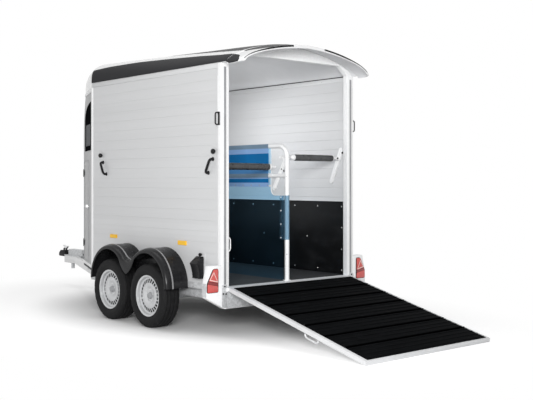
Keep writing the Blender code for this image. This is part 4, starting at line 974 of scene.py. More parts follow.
def guardRoute():
    g = guardSet
    span = (g["rear"] - g["front"]) / 2
    dip = g["valley"] - g["level"]
    fillet = (dip ** 2 - g["radius"] ** 2 + span ** 2) / (2 * (g["radius"] - dip))
    middle = (g["front"] + g["rear"]) / 2
    valley = (middle, g["valley"] + fillet)
    lean = math.degrees(math.atan2(valley[1] - g["level"], span))
    route = []
    for x, z in arcPoints((g["front"], g["level"]), g["radius"], 180, lean, g["arc"]):
        route.append((x, z, Vector((x - g["front"], z - g["level"])).normalized(), 0.0))
    for x, z in arcPoints(valley, fillet, 180 + lean, 360 - lean, g["dip"])[1:-1]:
        share = 1 - abs(x - middle) / (span - g["radius"] * cos(radians(lean)))
        route.append((x, z, Vector((valley[0] - x, valley[1] - z)).normalized(), share))
    for x, z in arcPoints((g["rear"], g["level"]), g["radius"], 180 - lean, 0, g["arc"]):
        route.append((x, z, Vector((x - g["rear"], z - g["level"])).normalized(), 0.0))
    return route


def makeGuards():
    g = guardSet
    wall = half + 0.0003
    deepest = g["valley"] - g["tip"] - g["skirt"]
    for label, side in sides:
        outer, inner = [], []
        for x, z, up, share in guardRoute():
            section = [(wall, 0.0), (wall + 0.012, 0.0), (wall + 0.020, 0.0026), (wall + 0.140, 0.0030)]
            section += [(wall + 0.150, 0.0006), (wall + g["flat"] - 0.006, 0.0)]
            for turn in range(8, 91, 9):
                drop = g["skirt"] * 0.6 * (1 - cos(radians(turn)))
                section.append((wall + g["flat"] + g["shoulder"] * sin(radians(turn)), drop))
            edge = g["skirt"] + deepest * share
            wide = wall + g["flat"] + g["shoulder"]
            section += [(wide, edge - 0.008), (wide - 0.0004, edge - 0.002), (wide - 0.004, edge)]
            rows = ([], [])
            last = len(section) - 1
            for k, (across, drop) in enumerate(section):
                ahead = Vector(section[min(k + 1, last)]) - Vector(section[max(k - 1, 0)])
                into = Vector((-ahead.y, ahead.x)).normalized() * g["sheet"]
                if k == 0:
                    into = Vector((0.0, g["sheet"]))
                for row, (da, dd) in zip(rows, ((0.0, 0.0), (into.x, into.y))):
                    row.append(at(x - up.x * (drop + dd), side * (across + da), z - up.y * (drop + dd)))
            outer.append(rows[0])
            inner.append(rows[1])
        shape = bmesh.new()
        skin(shape, outer, inner)
        shell = "mudguardShell" + label.title()
        piece(shell, shape, "guardPlastic", slot="charcoal_plastic", stands=("mudguard_" + label,), angle=40)
        # pale bead along the outer shoulder: its light grey is a painted highlight
        shape = bmesh.new()
        rows = []
        for x, z, up, share in guardRoute():
            bead = [
                (g["flat"] - 0.004, 0.0), (g["flat"], -0.0016), (g["flat"] + 0.006, -0.0012),
                (g["flat"] + 0.012, 0.0006)
            ]
            rows.append([at(x - up.x * drop, side * (wall + a), z - up.y * drop) for a, drop in bead])
        skin(shape, rows, [[point - Vector((0.0, 0.0, 0.0002)) for point in row] for row in rows])
        piece("guardBead" + label.title(), shape, "guardShine", slot="charcoal_plastic", angle=60)
        shape = bmesh.new()  # dark sheet on the wall inside the arches: painted shade
        loop = [(x - up.x * 0.006, z - up.y * 0.006) for x, z, up, share in guardRoute()]
        slab(shape, loop, "xz", *sorted((side * (half + 0.0040), side * (half + 0.0060))))
        piece("guardLiner" + label.title(), shape, "guardPlastic", slot="charcoal_plastic", angle=40)


makeGuards()


# wheels: grooved tyre with cut shoulders, pressed rim with vents, hub cap and bolts
wheelSet = {
    "radius": 0.306, "halfWidth": 0.0975, "seat": 0.1888, "flange": 0.1985, "rimHalf": 0.084, "lip": 0.0052,
    "steps": 96, "vents": 24, "bolts": 5, "boltCircle": 0.056, "front": -1.578, "rear": -0.878,
    "centre": 0.9885,
}


def tyreLine():
    w = wheelSet
    h, wall = w["halfWidth"], w["radius"] - w["flange"]
    bead = w["rimHalf"] - w["lip"] - 0.0006
    f = w["flange"]
    upper = [
        (w["seat"], bead, 0), (f + 0.0006, bead, 0), (f + 0.004, bead + 0.004, 0),
        (f + 0.006, bead + 0.0085, 0),
        (f + 0.010, bead + 0.0090, 0), (f + 0.013, bead + 0.0105, 0), (f + 0.30 * wall, h * 0.985, 0),
        (f + 0.42 * wall, h * 0.998, 0),
        (f + 0.44 * wall, h, 0), (f + 0.52 * wall, h, 0), (f + 0.54 * wall, h * 0.996, 0),
        (f + 0.66 * wall, h * 0.978, 0),
        (f + 0.78 * wall, h * 0.94, 0), (f + 0.80 * wall, h * 0.945, 1), (f + 0.88 * wall, h * 0.895, 1),
        (f + 0.94 * wall, h * 0.835, 1), (f + 0.975 * wall, h * 0.76, 1), (f + 0.988 * wall, h * 0.68, 1),
    ]
    tread = []
    for middle in (0.60, 0.20, -0.20, -0.60):
        crown = w["radius"] - 0.0022 * middle ** 2
        for step, deep in ((0.042, 0.0), (0.030, 0.0065), (-0.030, 0.0065), (-0.042, 0.0)):
            tread.append((crown - deep, h * (middle + step), 0))
    lower = [(r, -z, cut) for r, z, cut in reversed(upper)]
    return upper + tread + lower


def makeTyre(centre, out):
    w = wheelSet
    line = tyreLine()
    shape = bmesh.new()
    frameTo = Vector((0, out, 0)).to_track_quat("Z", "Y").to_matrix()
    rings = []
    for k in range(w["steps"]):
        t = 2 * pi * k / w["steps"]
        cut = 0.0045 if k % 4 == 0 else 0.0
        rings.append(
            [
                shape.verts.new(
                    centre + frameTo @ Vector(((r - cut * c) * cos(t), (r - cut * c) * sin(t), z))
                )
                for r, z, c in line
            ]
        )
    count = len(line)
    for k in range(w["steps"]):
        a, b = rings[k], rings[(k + 1) % w["steps"]]
        for i in range(count):
            j = (i + 1) % count
            shape.faces.new((a[i], b[i], b[j], a[j]))
    return shape


def makeRim(shape, centre, out):
    w = wheelSet
    h, lip, f = w["rimHalf"], w["lip"], w["flange"]
    barrel = 0.1800
    seat = w["seat"] - 0.0003
    turned(
        shape,
        [
            (f, h - 0.0012), (f - 0.0012, h), (f - 0.004, h), (barrel + 0.001, h - 0.006),
            (barrel - 0.002, h - 0.02),
            (barrel - 0.004, 0.040), (barrel - 0.0015, 0.016), (barrel - 0.004, -0.02),
            (barrel, -h + 0.012), (f - 0.004, -h),
            (f, -h), (f, lip - h), (seat, lip - h), (seat, h - lip), (f, h - lip),
        ],
        centre, (0, out, 0), w["steps"],
    )
    dish = [
        (0.0305, 0.0430), (0.040, 0.0430), (0.060, 0.0430), (0.066, 0.0450), (0.082, 0.0580), (0.092, 0.0605),
        (0.112, 0.0605), (0.124, 0.0585), (0.137, 0.0545), (0.160, 0.0470), (0.164, 0.0458), (0.170, 0.0465),
        (0.1765, 0.0520),
    ]
    frameTo = Vector((0, out, 0)).to_track_quat("Z", "Y").to_matrix()
    steps = w["vents"] * 6
    thick = 0.004
    layers = []
    for drop in (0.0, thick):
        layers.append(
            [
                [
                    shape.verts.new(
                        centre + frameTo @ Vector(
                            (r * cos(2 * pi * k / steps), r * sin(2 * pi * k / steps), z - drop)
                        )
                    )
                    for r, z in dish
                ]
                for k in range(steps)
            ]
        )
    top, under = layers
    last = len(dish) - 1
    for k in range(steps):
        n = (k + 1) % steps
        for i in range(last):
            if i in (7, 8) and k % 6 in (1, 2, 3, 4):
                continue
            shape.faces.new((top[k][i], top[n][i], top[n][i + 1], top[k][i + 1]))
            shape.faces.new((under[k][i], under[k][i + 1], under[n][i + 1], under[n][i]))
        for i in (0, last):
            shape.faces.new((top[k][i], top[n][i], under[n][i], under[k][i]))
        if k % 6 in (1, 2, 3, 4):
            for i in (7, 9):
                shape.faces.new((top[k][i], top[n][i], under[n][i], under[k][i]))
        if k % 6 in (1, 5):
            for i in (7, 8):
                shape.faces.new((top[k][i], top[k][i + 1], under[k][i + 1], under[k][i]))
    return shape


def makeWheels():
    w = wheelSet
    for end in ends:
        for label, side in sides:
            body = f"wheel_{end}_{label}"
            tag = end.title() + label.title()
            centre = at(w[end], side * w["centre"], w["radius"])
            piece(
                "tyre" + tag, makeTyre(centre, side), "tyreRubber", body, "tyre_rubber",
                (f"tyre_{end}_{label}",), 28
            )
            piece(
                "rim" + tag, makeRim(bmesh.new(), centre, side), "wheelPaint", body, "silver_wheel",
                (f"rim_{end}_{label}",), 35
            )
            spots = []
            for k in range(w["bolts"]):
                t = 2 * pi * k / w["bolts"] + 0.3
                spot = centre + Vector((w["boltCircle"] * cos(t), side * 0.0432, w["boltCircle"] * sin(t)))
                spots.append((spot, Vector((0, side, 0))))
            heads("wheelBolts" + tag, spots, "bolt", "brightZinc", body, 0.0095, 0.012)
            shape = bmesh.new()
            cap = [
                (0.0, 0.0690), (0.020, 0.0685), (0.0265, 0.0660), (0.0285, 0.0610), (0.0295, 0.0470),
                (0.0335, 0.0455), (0.0335, 0.0434), (0.0270, 0.0434), (0.0260, 0.0580), (0.0, 0.0600),
            ]
            turned(shape, cap, centre, (0, side, 0), 40, False)
            piece("hubCap" + tag, shape, "grooveGrey", body, "silver_wheel", angle=30)
            shape = bmesh.new()  # dark ring behind the vents
            ventRing = [(0.115, 0.0360), (0.168, 0.0360), (0.168, 0.0385), (0.115, 0.0385)]
            turned(shape, ventRing, centre, (0, side, 0), 64)
            piece("ventShade" + tag, shape, "sealRubber", body, "silver_wheel", angle=30)
            refine(f"suspension_arm_{end}_{label}", "zinc", 0.0025, 2, "galvanised_steel")


makeWheels()
print("wheels made")


# nose: carried-over shell, front rubbing strip, door with seal and hinges, framed windows
cheekTurn = math.atan2(noseSet["inset"], noseSet["cheek"])
doorSet = {"start": 0.273, "wide": 0.447, "low": 0.500, "high": 1.635, "proud": 0.006, "hinges": (0.69, 1.50)}
paneSet = {"start": 0.090, "wide": 0.516, "low": 1.760, "high": 2.275, "shoulder": 2.090, "border": 0.024}


# along the cheek from its rear corner, out from its face, and up
def onCheek(side, along, out, z):
    x = -roofSet["side"] - along * cos(cheekTurn) - out * sin(cheekTurn)
    y = side * (half - along * sin(cheekTurn) + out * cos(cheekTurn))
    return at(x, y, z)


# a thick outline lying on a cheek, given as (along, height) points
def cheekSlab(shape, points, side, low, high, hole=None):
    loops = [points] if hole is None else [points, hole]
    rings = [
        [[shape.verts.new(onCheek(side, a, out, z)) for a, z in loop] for out in (low, high)]
        for loop in loops
    ]
    count = len(points)
    for ring in rings:
        for i in range(count):
            k = (i + 1) % count
            shape.faces.new((ring[0][i], ring[0][k], ring[1][k], ring[1][i]))
    for level in (0, 1):
        if hole is None:
            shape.faces.new(rings[0][level])
            continue
        for i in range(count):
            k = (i + 1) % count
            shape.faces.new((rings[0][level][i], rings[0][level][k], rings[1][level][k], rings[1][level][i]))


def paneLoop(margin, steps=14):
    p = paneSet
    rear, front = p["start"] - margin, p["start"] + p["wide"] + margin
    low, high, shoulder = p["low"] - margin, p["high"] + margin, p["shoulder"] + margin
    loop = [(rear, low), (rear, high)]
    for k in range(1, steps + 1):
        t = pi / 2 * k / steps
        loop.append((rear + (front - rear) * sin(t), shoulder + (high - shoulder) * cos(t)))
    return loop + [(front, low)]


def makeNose():
    # nose shell in the darker copy of the wall silver: painted shade
    refine("nose_shell", "noseSkin", 0.0015, 2, "silver_panel", 40)
    for label, side in sides:
        tag = label.title()
        shape = bmesh.new()
        cheekSlab(shape, paneLoop(0.010), side, -0.002, 0.004, paneLoop(-paneSet["border"]))
        piece("paneFrame" + tag, shape, "smokedPane", slot="charcoal_plastic", angle=40)
        shape = bmesh.new()
        cheekSlab(shape, paneLoop(-0.002), side, -0.008, -0.0025)
        piece("pane" + tag, shape, "smokedPane", slot="smoked_glass", stands=("window_" + label,), angle=40)
        p = paneSet
        shape = bmesh.new()
        low, split = p["low"] + 0.045, p["low"] + 0.285
        for k in range(4):
            a = p["start"] + 0.045 + k * 0.108
            loop = roundCorners([(a, low), (a + 0.094, low), (a + 0.094, split), (a, split)], 0.012)
            cheekSlab(shape, loop, side, -0.0025, -0.0008)
        piece("paneSliders" + tag, shape, "paleLouvre", slot="smoked_glass", angle=40)
        shape = bmesh.new()
        for z in (0.4475, 2.392):
            plan = nosePlan(z, 14)
            line = [Vector((spot.x, side * -spot.y)) for spot in plan] + [Vector((plan[-1].x, 0.0))]
            outer, inner = [], []
            for height, rowOut in ((z, 0.0), (z + 0.004, 0.004), (z + 0.030, 0.004), (z + 0.034, 0.0)):
                rowA, rowB = [], []
                for i, q in enumerate(line):
                    ahead = line[min(i + 1, len(line) - 1)] - line[max(i - 1, 0)]
                    normal = Vector((ahead.y, -ahead.x)).normalized()
                    if normal.x > 0.01 or (normal.y * side < 0 and abs(normal.x) < 0.5):
                        normal = -normal
                    rowA.append(
                        at(q.x + normal.x * (rowOut + 0.0012), q.y + normal.y * (rowOut + 0.0012), height)
                    )
                    rowB.append(at(q.x + normal.x * 0.0006, q.y + normal.y * 0.0006, height))
                outer.append(rowA)
                inner.append(rowB)
            skin(shape, outer, inner)
        piece("noseTrim" + tag, shape, "frameWhite", slot="silver_panel", angle=40)


def makeDoor():
    d = doorSet
    # door in the darker copy of the wall silver: painted shade
    refine("entry_door", "noseSkin", 0.002, 2, "silver_panel")
    a, b = d["start"], d["start"] + d["wide"]
    outer = roundedBox(a - 0.012, d["low"] - 0.012, b + 0.012, d["high"] + 0.012, 0.03, 6)
    inner = roundedBox(a + 0.004, d["low"] + 0.004, b - 0.004, d["high"] - 0.004, 0.03, 6)
    shape = bmesh.new()
    cheekSlab(shape, outer, -1, 0.0004, 0.0034, inner)
    piece("doorSeal", shape, "grooveGrey", slot="charcoal_plastic", angle=40)
    shape = bmesh.new()
    inset = 0.045
    outer = roundedBox(a + inset, d["low"] + inset, b - inset, d["high"] - inset, 0.04, 6)
    inset = 0.057
    inner = roundedBox(a + inset, d["low"] + inset, b - inset, d["high"] - inset, 0.03, 6)
    cheekSlab(shape, outer, -1, 0.0004, 0.0026, inner)
    piece("doorBead", shape, "noseSkin", "entry_door", "silver_panel", angle=40)
    for k, z in enumerate(d["hinges"]):
        shape = bmesh.new()
        pin = [
            (0.0, -0.045), (0.0052, -0.045), (0.0056, -0.043), (0.0056, 0.043), (0.0052, 0.045),
            (0.0, 0.045)
        ]
        turned(shape, pin, onCheek(-1, b, d["proud"], z), (0, 0, 1), 16, False)
        bodyLeaf = [
            (b + 0.004, z - 0.04), (b + 0.055, z - 0.03), (b + 0.055, z + 0.03), (b + 0.004, z + 0.04)
        ]
        cheekSlab(shape, roundCorners(bodyLeaf, 0.008), -1, 0.0038, 0.0062)
        piece(f"doorHingeFixed{k}", shape, "blackTrim", slot="charcoal_plastic")
        shape = bmesh.new()
        doorLeaf = [
            (b - 0.007, z - 0.034), (b - 0.060, z - 0.026), (b - 0.060, z + 0.026), (b - 0.007, z + 0.034)
        ]
        cheekSlab(shape, roundCorners(doorLeaf, 0.008), -1, 0.0003, 0.003)
        piece(f"doorHingeLeaf{k}", shape, "blackTrim", "entry_door", "charcoal_plastic")
        out = (onCheek(-1, b, 1.0, z) - onCheek(-1, b, 0.0, z)).normalized()
        spots = [(onCheek(-1, b + s, 0.006, z + v), out) for s in (0.02, 0.042) for v in (-0.014, 0.014)]
        heads(f"doorHingeScrews{k}", spots, "rivet", "brightZinc", radius=0.0045)
    refine("entry_door_latch", "brightZinc", 0.003, 3, "charcoal_plastic")


makeNose()
makeDoor()
print("nose made")


# ramp: its own axes run along the board, across it and out of its walking face
rampJoint = [j for j in frame["joints"] if j["name"] == "ramp_hinge"][0]
rampTurn = Matrix.Translation(Vector(rampJoint["pos_m"])) @ Matrix.Rotation(
    radians(rampJoint["range_deg"][1] - 90.0), 4, "Y"
)
rampSet = {
    "length": 1.735, "half": 0.79, "thick": 0.035, "margin": 0.035, "start": 0.030, "end": 0.020,
    "sheet": 0.004, "ribs": 28,
    "ribHeight": 0.0055, "ribWidth": 0.016, "planks": 16,
}


def makeRamp():
    r = rampSet
    refine("ramp_board", "ceiling", 0.003, 3, "ramp_panel")
    base = r["thick"] / 2 + 0.0003
    top = base + r["sheet"]
    stop = r["length"] - r["end"]
    wide = r["half"] - r["margin"]
    shape = bmesh.new()
    box(shape, (r["start"], -wide, base), (stop, wide, top), 0.0012)
    bmesh.ops.transform(shape, matrix=rampTurn, verts=shape.verts)
    piece("rampMatSheet", shape, "matRubber", "ramp", "black_rubber")
    shape = bmesh.new()
    for k in range(1, 7):  # seams between the fields of the mat
        u = r["start"] + (stop - r["start"]) * k / 7
        box(
            shape, (u - 0.008, -wide + 0.002, top + 0.0002),
            (u + 0.008, wide - 0.002, top + r["ribHeight"] + 0.0008), 0.0004
        )
    bmesh.ops.transform(shape, matrix=rampTurn, verts=shape.verts)
    piece("rampMatSeams", shape, "matSeam", "ramp", "black_rubber")
    pitch = (stop - r["start"]) / r["ribs"]
    shape = bmesh.new()
    w, h = r["ribWidth"] / 2, r["ribHeight"]
    line = [(-w, 0.0), (-w * 0.72, h * 0.75), (-w * 0.45, h), (w * 0.45, h), (w * 0.72, h * 0.75), (w, 0.0)]
    first = r["start"] + pitch / 2
    rows = [
        [Vector((first + a, y, top - 0.0002 + b * s)) for a, b in line]
        for y, s in ((-wide + 0.001, 0.4), (-wide + 0.010, 1.0), (wide - 0.010, 1.0), (wide - 0.001, 0.4))
    ]
    skin(shape, rows)
    edge = list(shape.verts)
    shape.faces.new([edge[i] for i in range(6)])
    shape.faces.new([edge[i] for i in range(18, 24)])
    for i in range(3):
        shape.faces.new((edge[i * 6], edge[i * 6 + 6], edge[i * 6 + 11], edge[i * 6 + 5]))
    repeated(
        "rampMatRibs", shape, "matRubber", r["ribs"], (pitch, 0.0, 0.0), "ramp", "black_rubber",
        ("ramp_mat",), rampTurn, 50
    )
    # outer skin, seen when the ramp is shut
    pitch = 1.60 / r["planks"]
    under = -r["thick"] / 2 - 0.0003
    shape = bmesh.new()
    line = [
        (0.0002, under - 0.0008), (0.0026, under - 0.0024), (pitch - 0.0026, under - 0.0024),
        (pitch - 0.0002, under - 0.0008), (pitch - 0.0002, under), (0.0002, under)
    ]
    rows = [[Vector((0.07 + a, y, b)) for a, b in line] for y in (-0.735, 0.735)]
    skin(shape, rows)
    edge = list(shape.verts)
    shape.faces.new(edge[:6])
    shape.faces.new(edge[6:])
    shape.faces.new((edge[0], edge[5], edge[11], edge[6]))
    repeated(
        "rampPlanks", shape, "plank", r["planks"], (pitch, 0.0, 0.0), "ramp", "silver_panel", (), rampTurn,
        20
    )
    spots = []
    turnOnly = rampTurn.to_3x3()
    for side in (-1, 1):
        for k in range(9):
            spots.append(
                (
                    rampTurn @ Vector((0.10 + 0.195 * k, side * (r["half"] - 0.012), r["thick"] / 2)),
                    turnOnly @ Vector((0, 0, 1))
                )
            )
    heads("rampEdgeRivets", spots, "rivet", "brightZinc", "ramp", 0.0055)


makeRamp()
print("ramp made")


# rear frame and crossmember: groove strips, side plates, hinge plates, bolts and a hand loop
rearSet = {"groove": (0.798, 0.824), "loopLow": 0.765, "loopHigh": 0.895}


def makeRear():
    refine("rear_frame", "frameWhite", 0.004, 3, "galvanised_steel")
    refine("rear_crossmember", "frameWhite", 0.0025, 2, "galvanised_steel")
    for label, side in sides:
        tag = label.title()
        shape = bmesh.new()
        a, b = sorted(side * v for v in rearSet["groove"])
        box(shape, at(-0.001, a, 0.47), at(0.0008, b, 2.44), 0.0003)
        piece("pillarGroove" + tag, shape, "grooveGrey", slot="galvanised_steel")
        shape = bmesh.new()
        near, far = sorted((side * (half + 0.0004), side * (half + 0.0030)))
        gusset = [(-0.058, 1.93), (-0.012, 1.93), (-0.004, 2.02), (-0.004, 2.36), (-0.058, 2.36)]
        slab(shape, gusset, "xz", near, far)
        piece("pillarPlate" + tag, shape, "frameWhite", slot="galvanised_steel")
        shape = bmesh.new()  # hinge plate under the pillar
        a, b = sorted((side * 0.7935, side * 0.8490))
        box(shape, at(0.0004, a, 0.262), at(0.0065, b, 0.4680), 0.0015)
        piece("hingePlate" + tag, shape, "zinc", slot="galvanised_steel")
        spots = [
            (at(0.0065, side * y, z), Vector((1, 0, 0)))
            for y, z in ((0.8190, 0.455), (0.8360, 0.389), (0.8040, 0.386))
        ]
        heads("hingeBolts" + tag, spots, "bolt", "blackTrim", radius=0.009, height=0.008)
        spots = [(at(0.0, side * y, 0.268), Vector((1, 0, 0))) for y in (0.15, 0.38, 0.61, 0.74)]
        heads("crossmemberRivets" + tag, spots, "rivet", "zinc", radius=0.008)
        shape = bmesh.new()  # outboard lip of the lamp box
        lip = [(-0.0600, 0.492), (-0.0600, 0.370), (0.0, 0.370), (0.0, 0.492)]
        slab(shape, lip, "xz", *sorted((side * 1.0215, side * 1.0245)))
        piece("lampBoxLip" + tag, shape, "zinc", slot="galvanised_steel")
        shape = bmesh.new()  # rolled lower lip of the crossmember
        a, b = sorted((side * 0.02, side * 0.80))
        box(shape, at(0.0003, a, 0.252), at(0.010, b, 0.2600), 0.002)
        piece("crossmemberLip" + tag, shape, "zinc", slot="galvanised_steel")
        shape = bmesh.new()
        faceEnd = b - 0.02 if side > 0 else b
        box(shape, at(0.0004, a, 0.2620), at(0.0020, faceEnd, 0.440), 0.0005)
        piece("crossmemberFace" + tag, shape, "zinc", slot="galvanised_steel")
    low, high = rearSet["loopLow"], rearSet["loopHigh"]
    shape = bmesh.new()
    rise = ((-0.7646, 0.0), (-0.750, 0.002), (-0.738, 0.012), (-0.733, 0.028))
    route = [at(-0.022, y, low + up) for y, up in rise]
    route += [at(-0.022, y, high - up) for y, up in reversed(rise)]
    pipe(shape, route, 0.0055, 10)
    piece("handLoop", shape, "frameWhite", slot="charcoal_plastic")
    shape = bmesh.new()
    box(shape, at(-0.034, -0.7647, low - 0.022), at(-0.010, -0.7625, high + 0.022), 0.001)
    piece("handLoopPlate", shape, "frameWhite", slot="galvanised_steel")
    spots = [(at(-0.022, -0.7625, z), Vector((0, 1, 0))) for z in (low - 0.013, high + 0.013)]
    heads("handLoopScrews", spots, "screw", "blackTrim", radius=0.008)


# rear lamps: dark bezel, ribbed red lenses, a brake strip and a triangle reflector
lampSet = {
    "inner": 0.890, "low": 0.406, "high": 0.621, "outer": 1.018, "cheek": 0.490, "crown": 0.949,
    "edge": 0.004
}


def lampEdge(z, inset):
    s = lampSet
    if z <= s["cheek"]:
        return s["outer"] - inset
    return s["outer"] + (s["crown"] - s["outer"]) * (z - s["cheek"]) / (s["high"] - s["cheek"]) - inset * 1.18


def domed(name, loop, side, low, high, finish, rim=0.004):
    shape = bmesh.new()
    middle = Vector((sum(p[0] for p in loop), sum(p[1] for p in loop))) / len(loop)
    rings = []
    for x, pull in ((low, 0.0), (high - rim, 0.0), (high - rim * 0.3, rim * 0.35), (high, rim)):
        ring = []
        for p in loop:
            toward = middle - Vector(p)
            q = Vector(p) + toward.normalized() * min(pull, toward.length * 0.5)
            ring.append(shape.verts.new(at(x, side * q.x, q.y)))
        rings.append(ring)
    count = len(loop)
    for a, b in zip(rings, rings[1:]):
        for i in range(count):
            k = (i + 1) % count
            shape.faces.new((a[i], a[k], b[k], b[i]))
    shape.faces.new(rings[0])
    shape.faces.new(rings[-1])
    return piece(name, shape, finish, slot="lamp_red", angle=45)


def makeLamps():
    s = lampSet
    for label, side in sides:
        tag = label.title()
        outline = [
            (s["inner"], s["low"]), (s["outer"], s["low"]), (s["outer"], s["cheek"]),
            (s["crown"], s["high"]), (s["inner"], s["high"])
        ]
        bezel = domed(
            "lampBezel" + tag, roundCorners(outline, 0.020, 6), side, 0.0003, 0.0080, "sealRubber", 0.003
        )
        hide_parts("lamp_" + label)
        e = s["edge"]
        lowLens = [
            (s["inner"] + e, s["low"] + e), (s["outer"] - e, s["low"] + e), (lampEdge(0.488, e), 0.488),
            (s["inner"] + e, 0.464)
        ]
        domed("lampLow" + tag, roundCorners(lowLens, 0.012, 5), side, 0.006, 0.0115, "redLens")
        strip = [
            (s["inner"] + e, 0.4655), (lampEdge(0.4895, e), 0.4895), (lampEdge(0.512, e), 0.512),
            (s["inner"] + e, 0.490)
        ]
        domed("lampStrip" + tag, strip, side, 0.006, 0.0108, "darkRedLens", 0.002)
        upper = [
            (s["inner"] + e, 0.4915), (lampEdge(0.5135, e), 0.5135),
            (lampEdge(s["high"] - e, e), s["high"] - e), (s["inner"] + e, s["high"] - e)
        ]
        domed("lampUpper" + tag, roundCorners(upper, 0.010, 5), side, 0.006, 0.0112, "redLens")
        shape = bmesh.new()  # triangle reflector: a pale frame round a red heart
        outerTri = roundCorners([(0.899, 0.498), (0.996, 0.521), (0.946, 0.594)], 0.006, 4)
        innerTri = roundCorners([(0.909, 0.509), (0.985, 0.526), (0.946, 0.581)], 0.004, 4)
        levels = []
        for x in (0.0108, 0.0126):
            levels.append(
                [[shape.verts.new(at(x, side * y, z)) for y, z in loop] for loop in (outerTri, innerTri)]
            )
        count = len(outerTri)
        for i in range(count):
            k = (i + 1) % count
            for lo, hi in zip(levels[0], levels[1]):
                shape.faces.new((lo[i], lo[k], hi[k], hi[i]))
            for level in levels:
                shape.faces.new((level[0][i], level[0][k], level[1][k], level[1][i]))
        piece("lampTriangle" + tag, shape, "paleLens", slot="lamp_red", angle=45)


makeRear()
makeLamps()
print("rear made")


# partition: bent tubes, slotted strips, a stretched panel, a clear curtain and its sleeve with eyelets
stallSet = {
    "post": -0.066, "mirror": -2.207, "tube": 0.0225, "rail": 0.0203, "top": 1.7495, "mid": 1.460,
    "bend": 0.110,
    "cloth": -0.0243, "panelRear": -0.319, "edgeRear": -0.274, "hem": 1.350, "curtainHigh": 1.268,
    "corner": 0.060,
    "curtainLow": 0.452, "sleeveLow": 0.840, "flap": 0.074, "stripHigh": (-0.079, 1.628),
    "stripLow": (-0.256, 1.338),
    "stripWide": 0.046,
}
# bands down the partition panel from the top: the tubeBlue bands paint the shaded tubes behind the sheet and
# the periwinkle bands paint the light of the wall showing through it
panelBands = (
    (1.772, "tubeBlue"), (1.729, "periwinkle"), (1.680, "deepBlue"), (1.548, "midBlue"), (1.481, "tubeBlue"),
    (1.440, "periwinkle"), (1.429, "deepBlue"), (1.390, "periwinkle"),
)


def flip(x, front):
    return stallSet["mirror"] - x if front else x


# a slotted strip: a pale plate with a bright channel in three lengths and a short tab at each end
def makeStrip(name, high, low, faces, body="chassis"):
    s = stallSet
    high, low = Vector(high), Vector(low)
    along = (low - high).normalized()
    across = Vector((-along.y, along.x))
    length = (low - high).length
    near, far, outward = faces
    shape = bmesh.new()
    slab(shape, capsulePoints(low, high, s["stripWide"] / 2, 12), "xz", near, far)
    plate = piece(name + "Plate", shape, "frameWhite", body, "galvanised_steel", angle=40)
    shape = bmesh.new()
    face = far if outward > 0 else near
    for start, end in ((0.00, 0.34), (0.38, 0.55), (0.63, 1.00)):
        a, b = high + along * length * start, high + along * length * end
        wide = across * 0.0115
        loop = roundCorners([tuple(a + wide), tuple(b + wide), tuple(b - wide), tuple(a - wide)], 0.004, 3)
        slab(shape, loop, "xz", *sorted((face + outward * 0.0002, face + outward * 0.0055)))
    for spot, lean in ((high, -0.012), (low, 0.012)):
        middle = spot + Vector((lean, 0.0))
        loop = roundedBox(middle.x - 0.028, middle.y - 0.003, middle.x + 0.028, middle.y + 0.003, 0.002, 2)
        slab(shape, loop, "xz", *sorted((face + outward * 0.0003, face + outward * 0.0120)))
    piece(name + "Channel", shape, "frameWhite", body, "galvanised_steel", angle=40)
    shape = bmesh.new()
    for share in (0.36, 0.59):
        middle = high + along * length * share
        loop = arcPoints(middle, 0.008, 0, 348, 15)
        slab(shape, loop, "xz", *sorted((face + outward * 0.0002, face + outward * 0.0012)))
    piece(name + "Notches", shape, "blackTrim", body, "galvanised_steel", angle=40)
    return plate


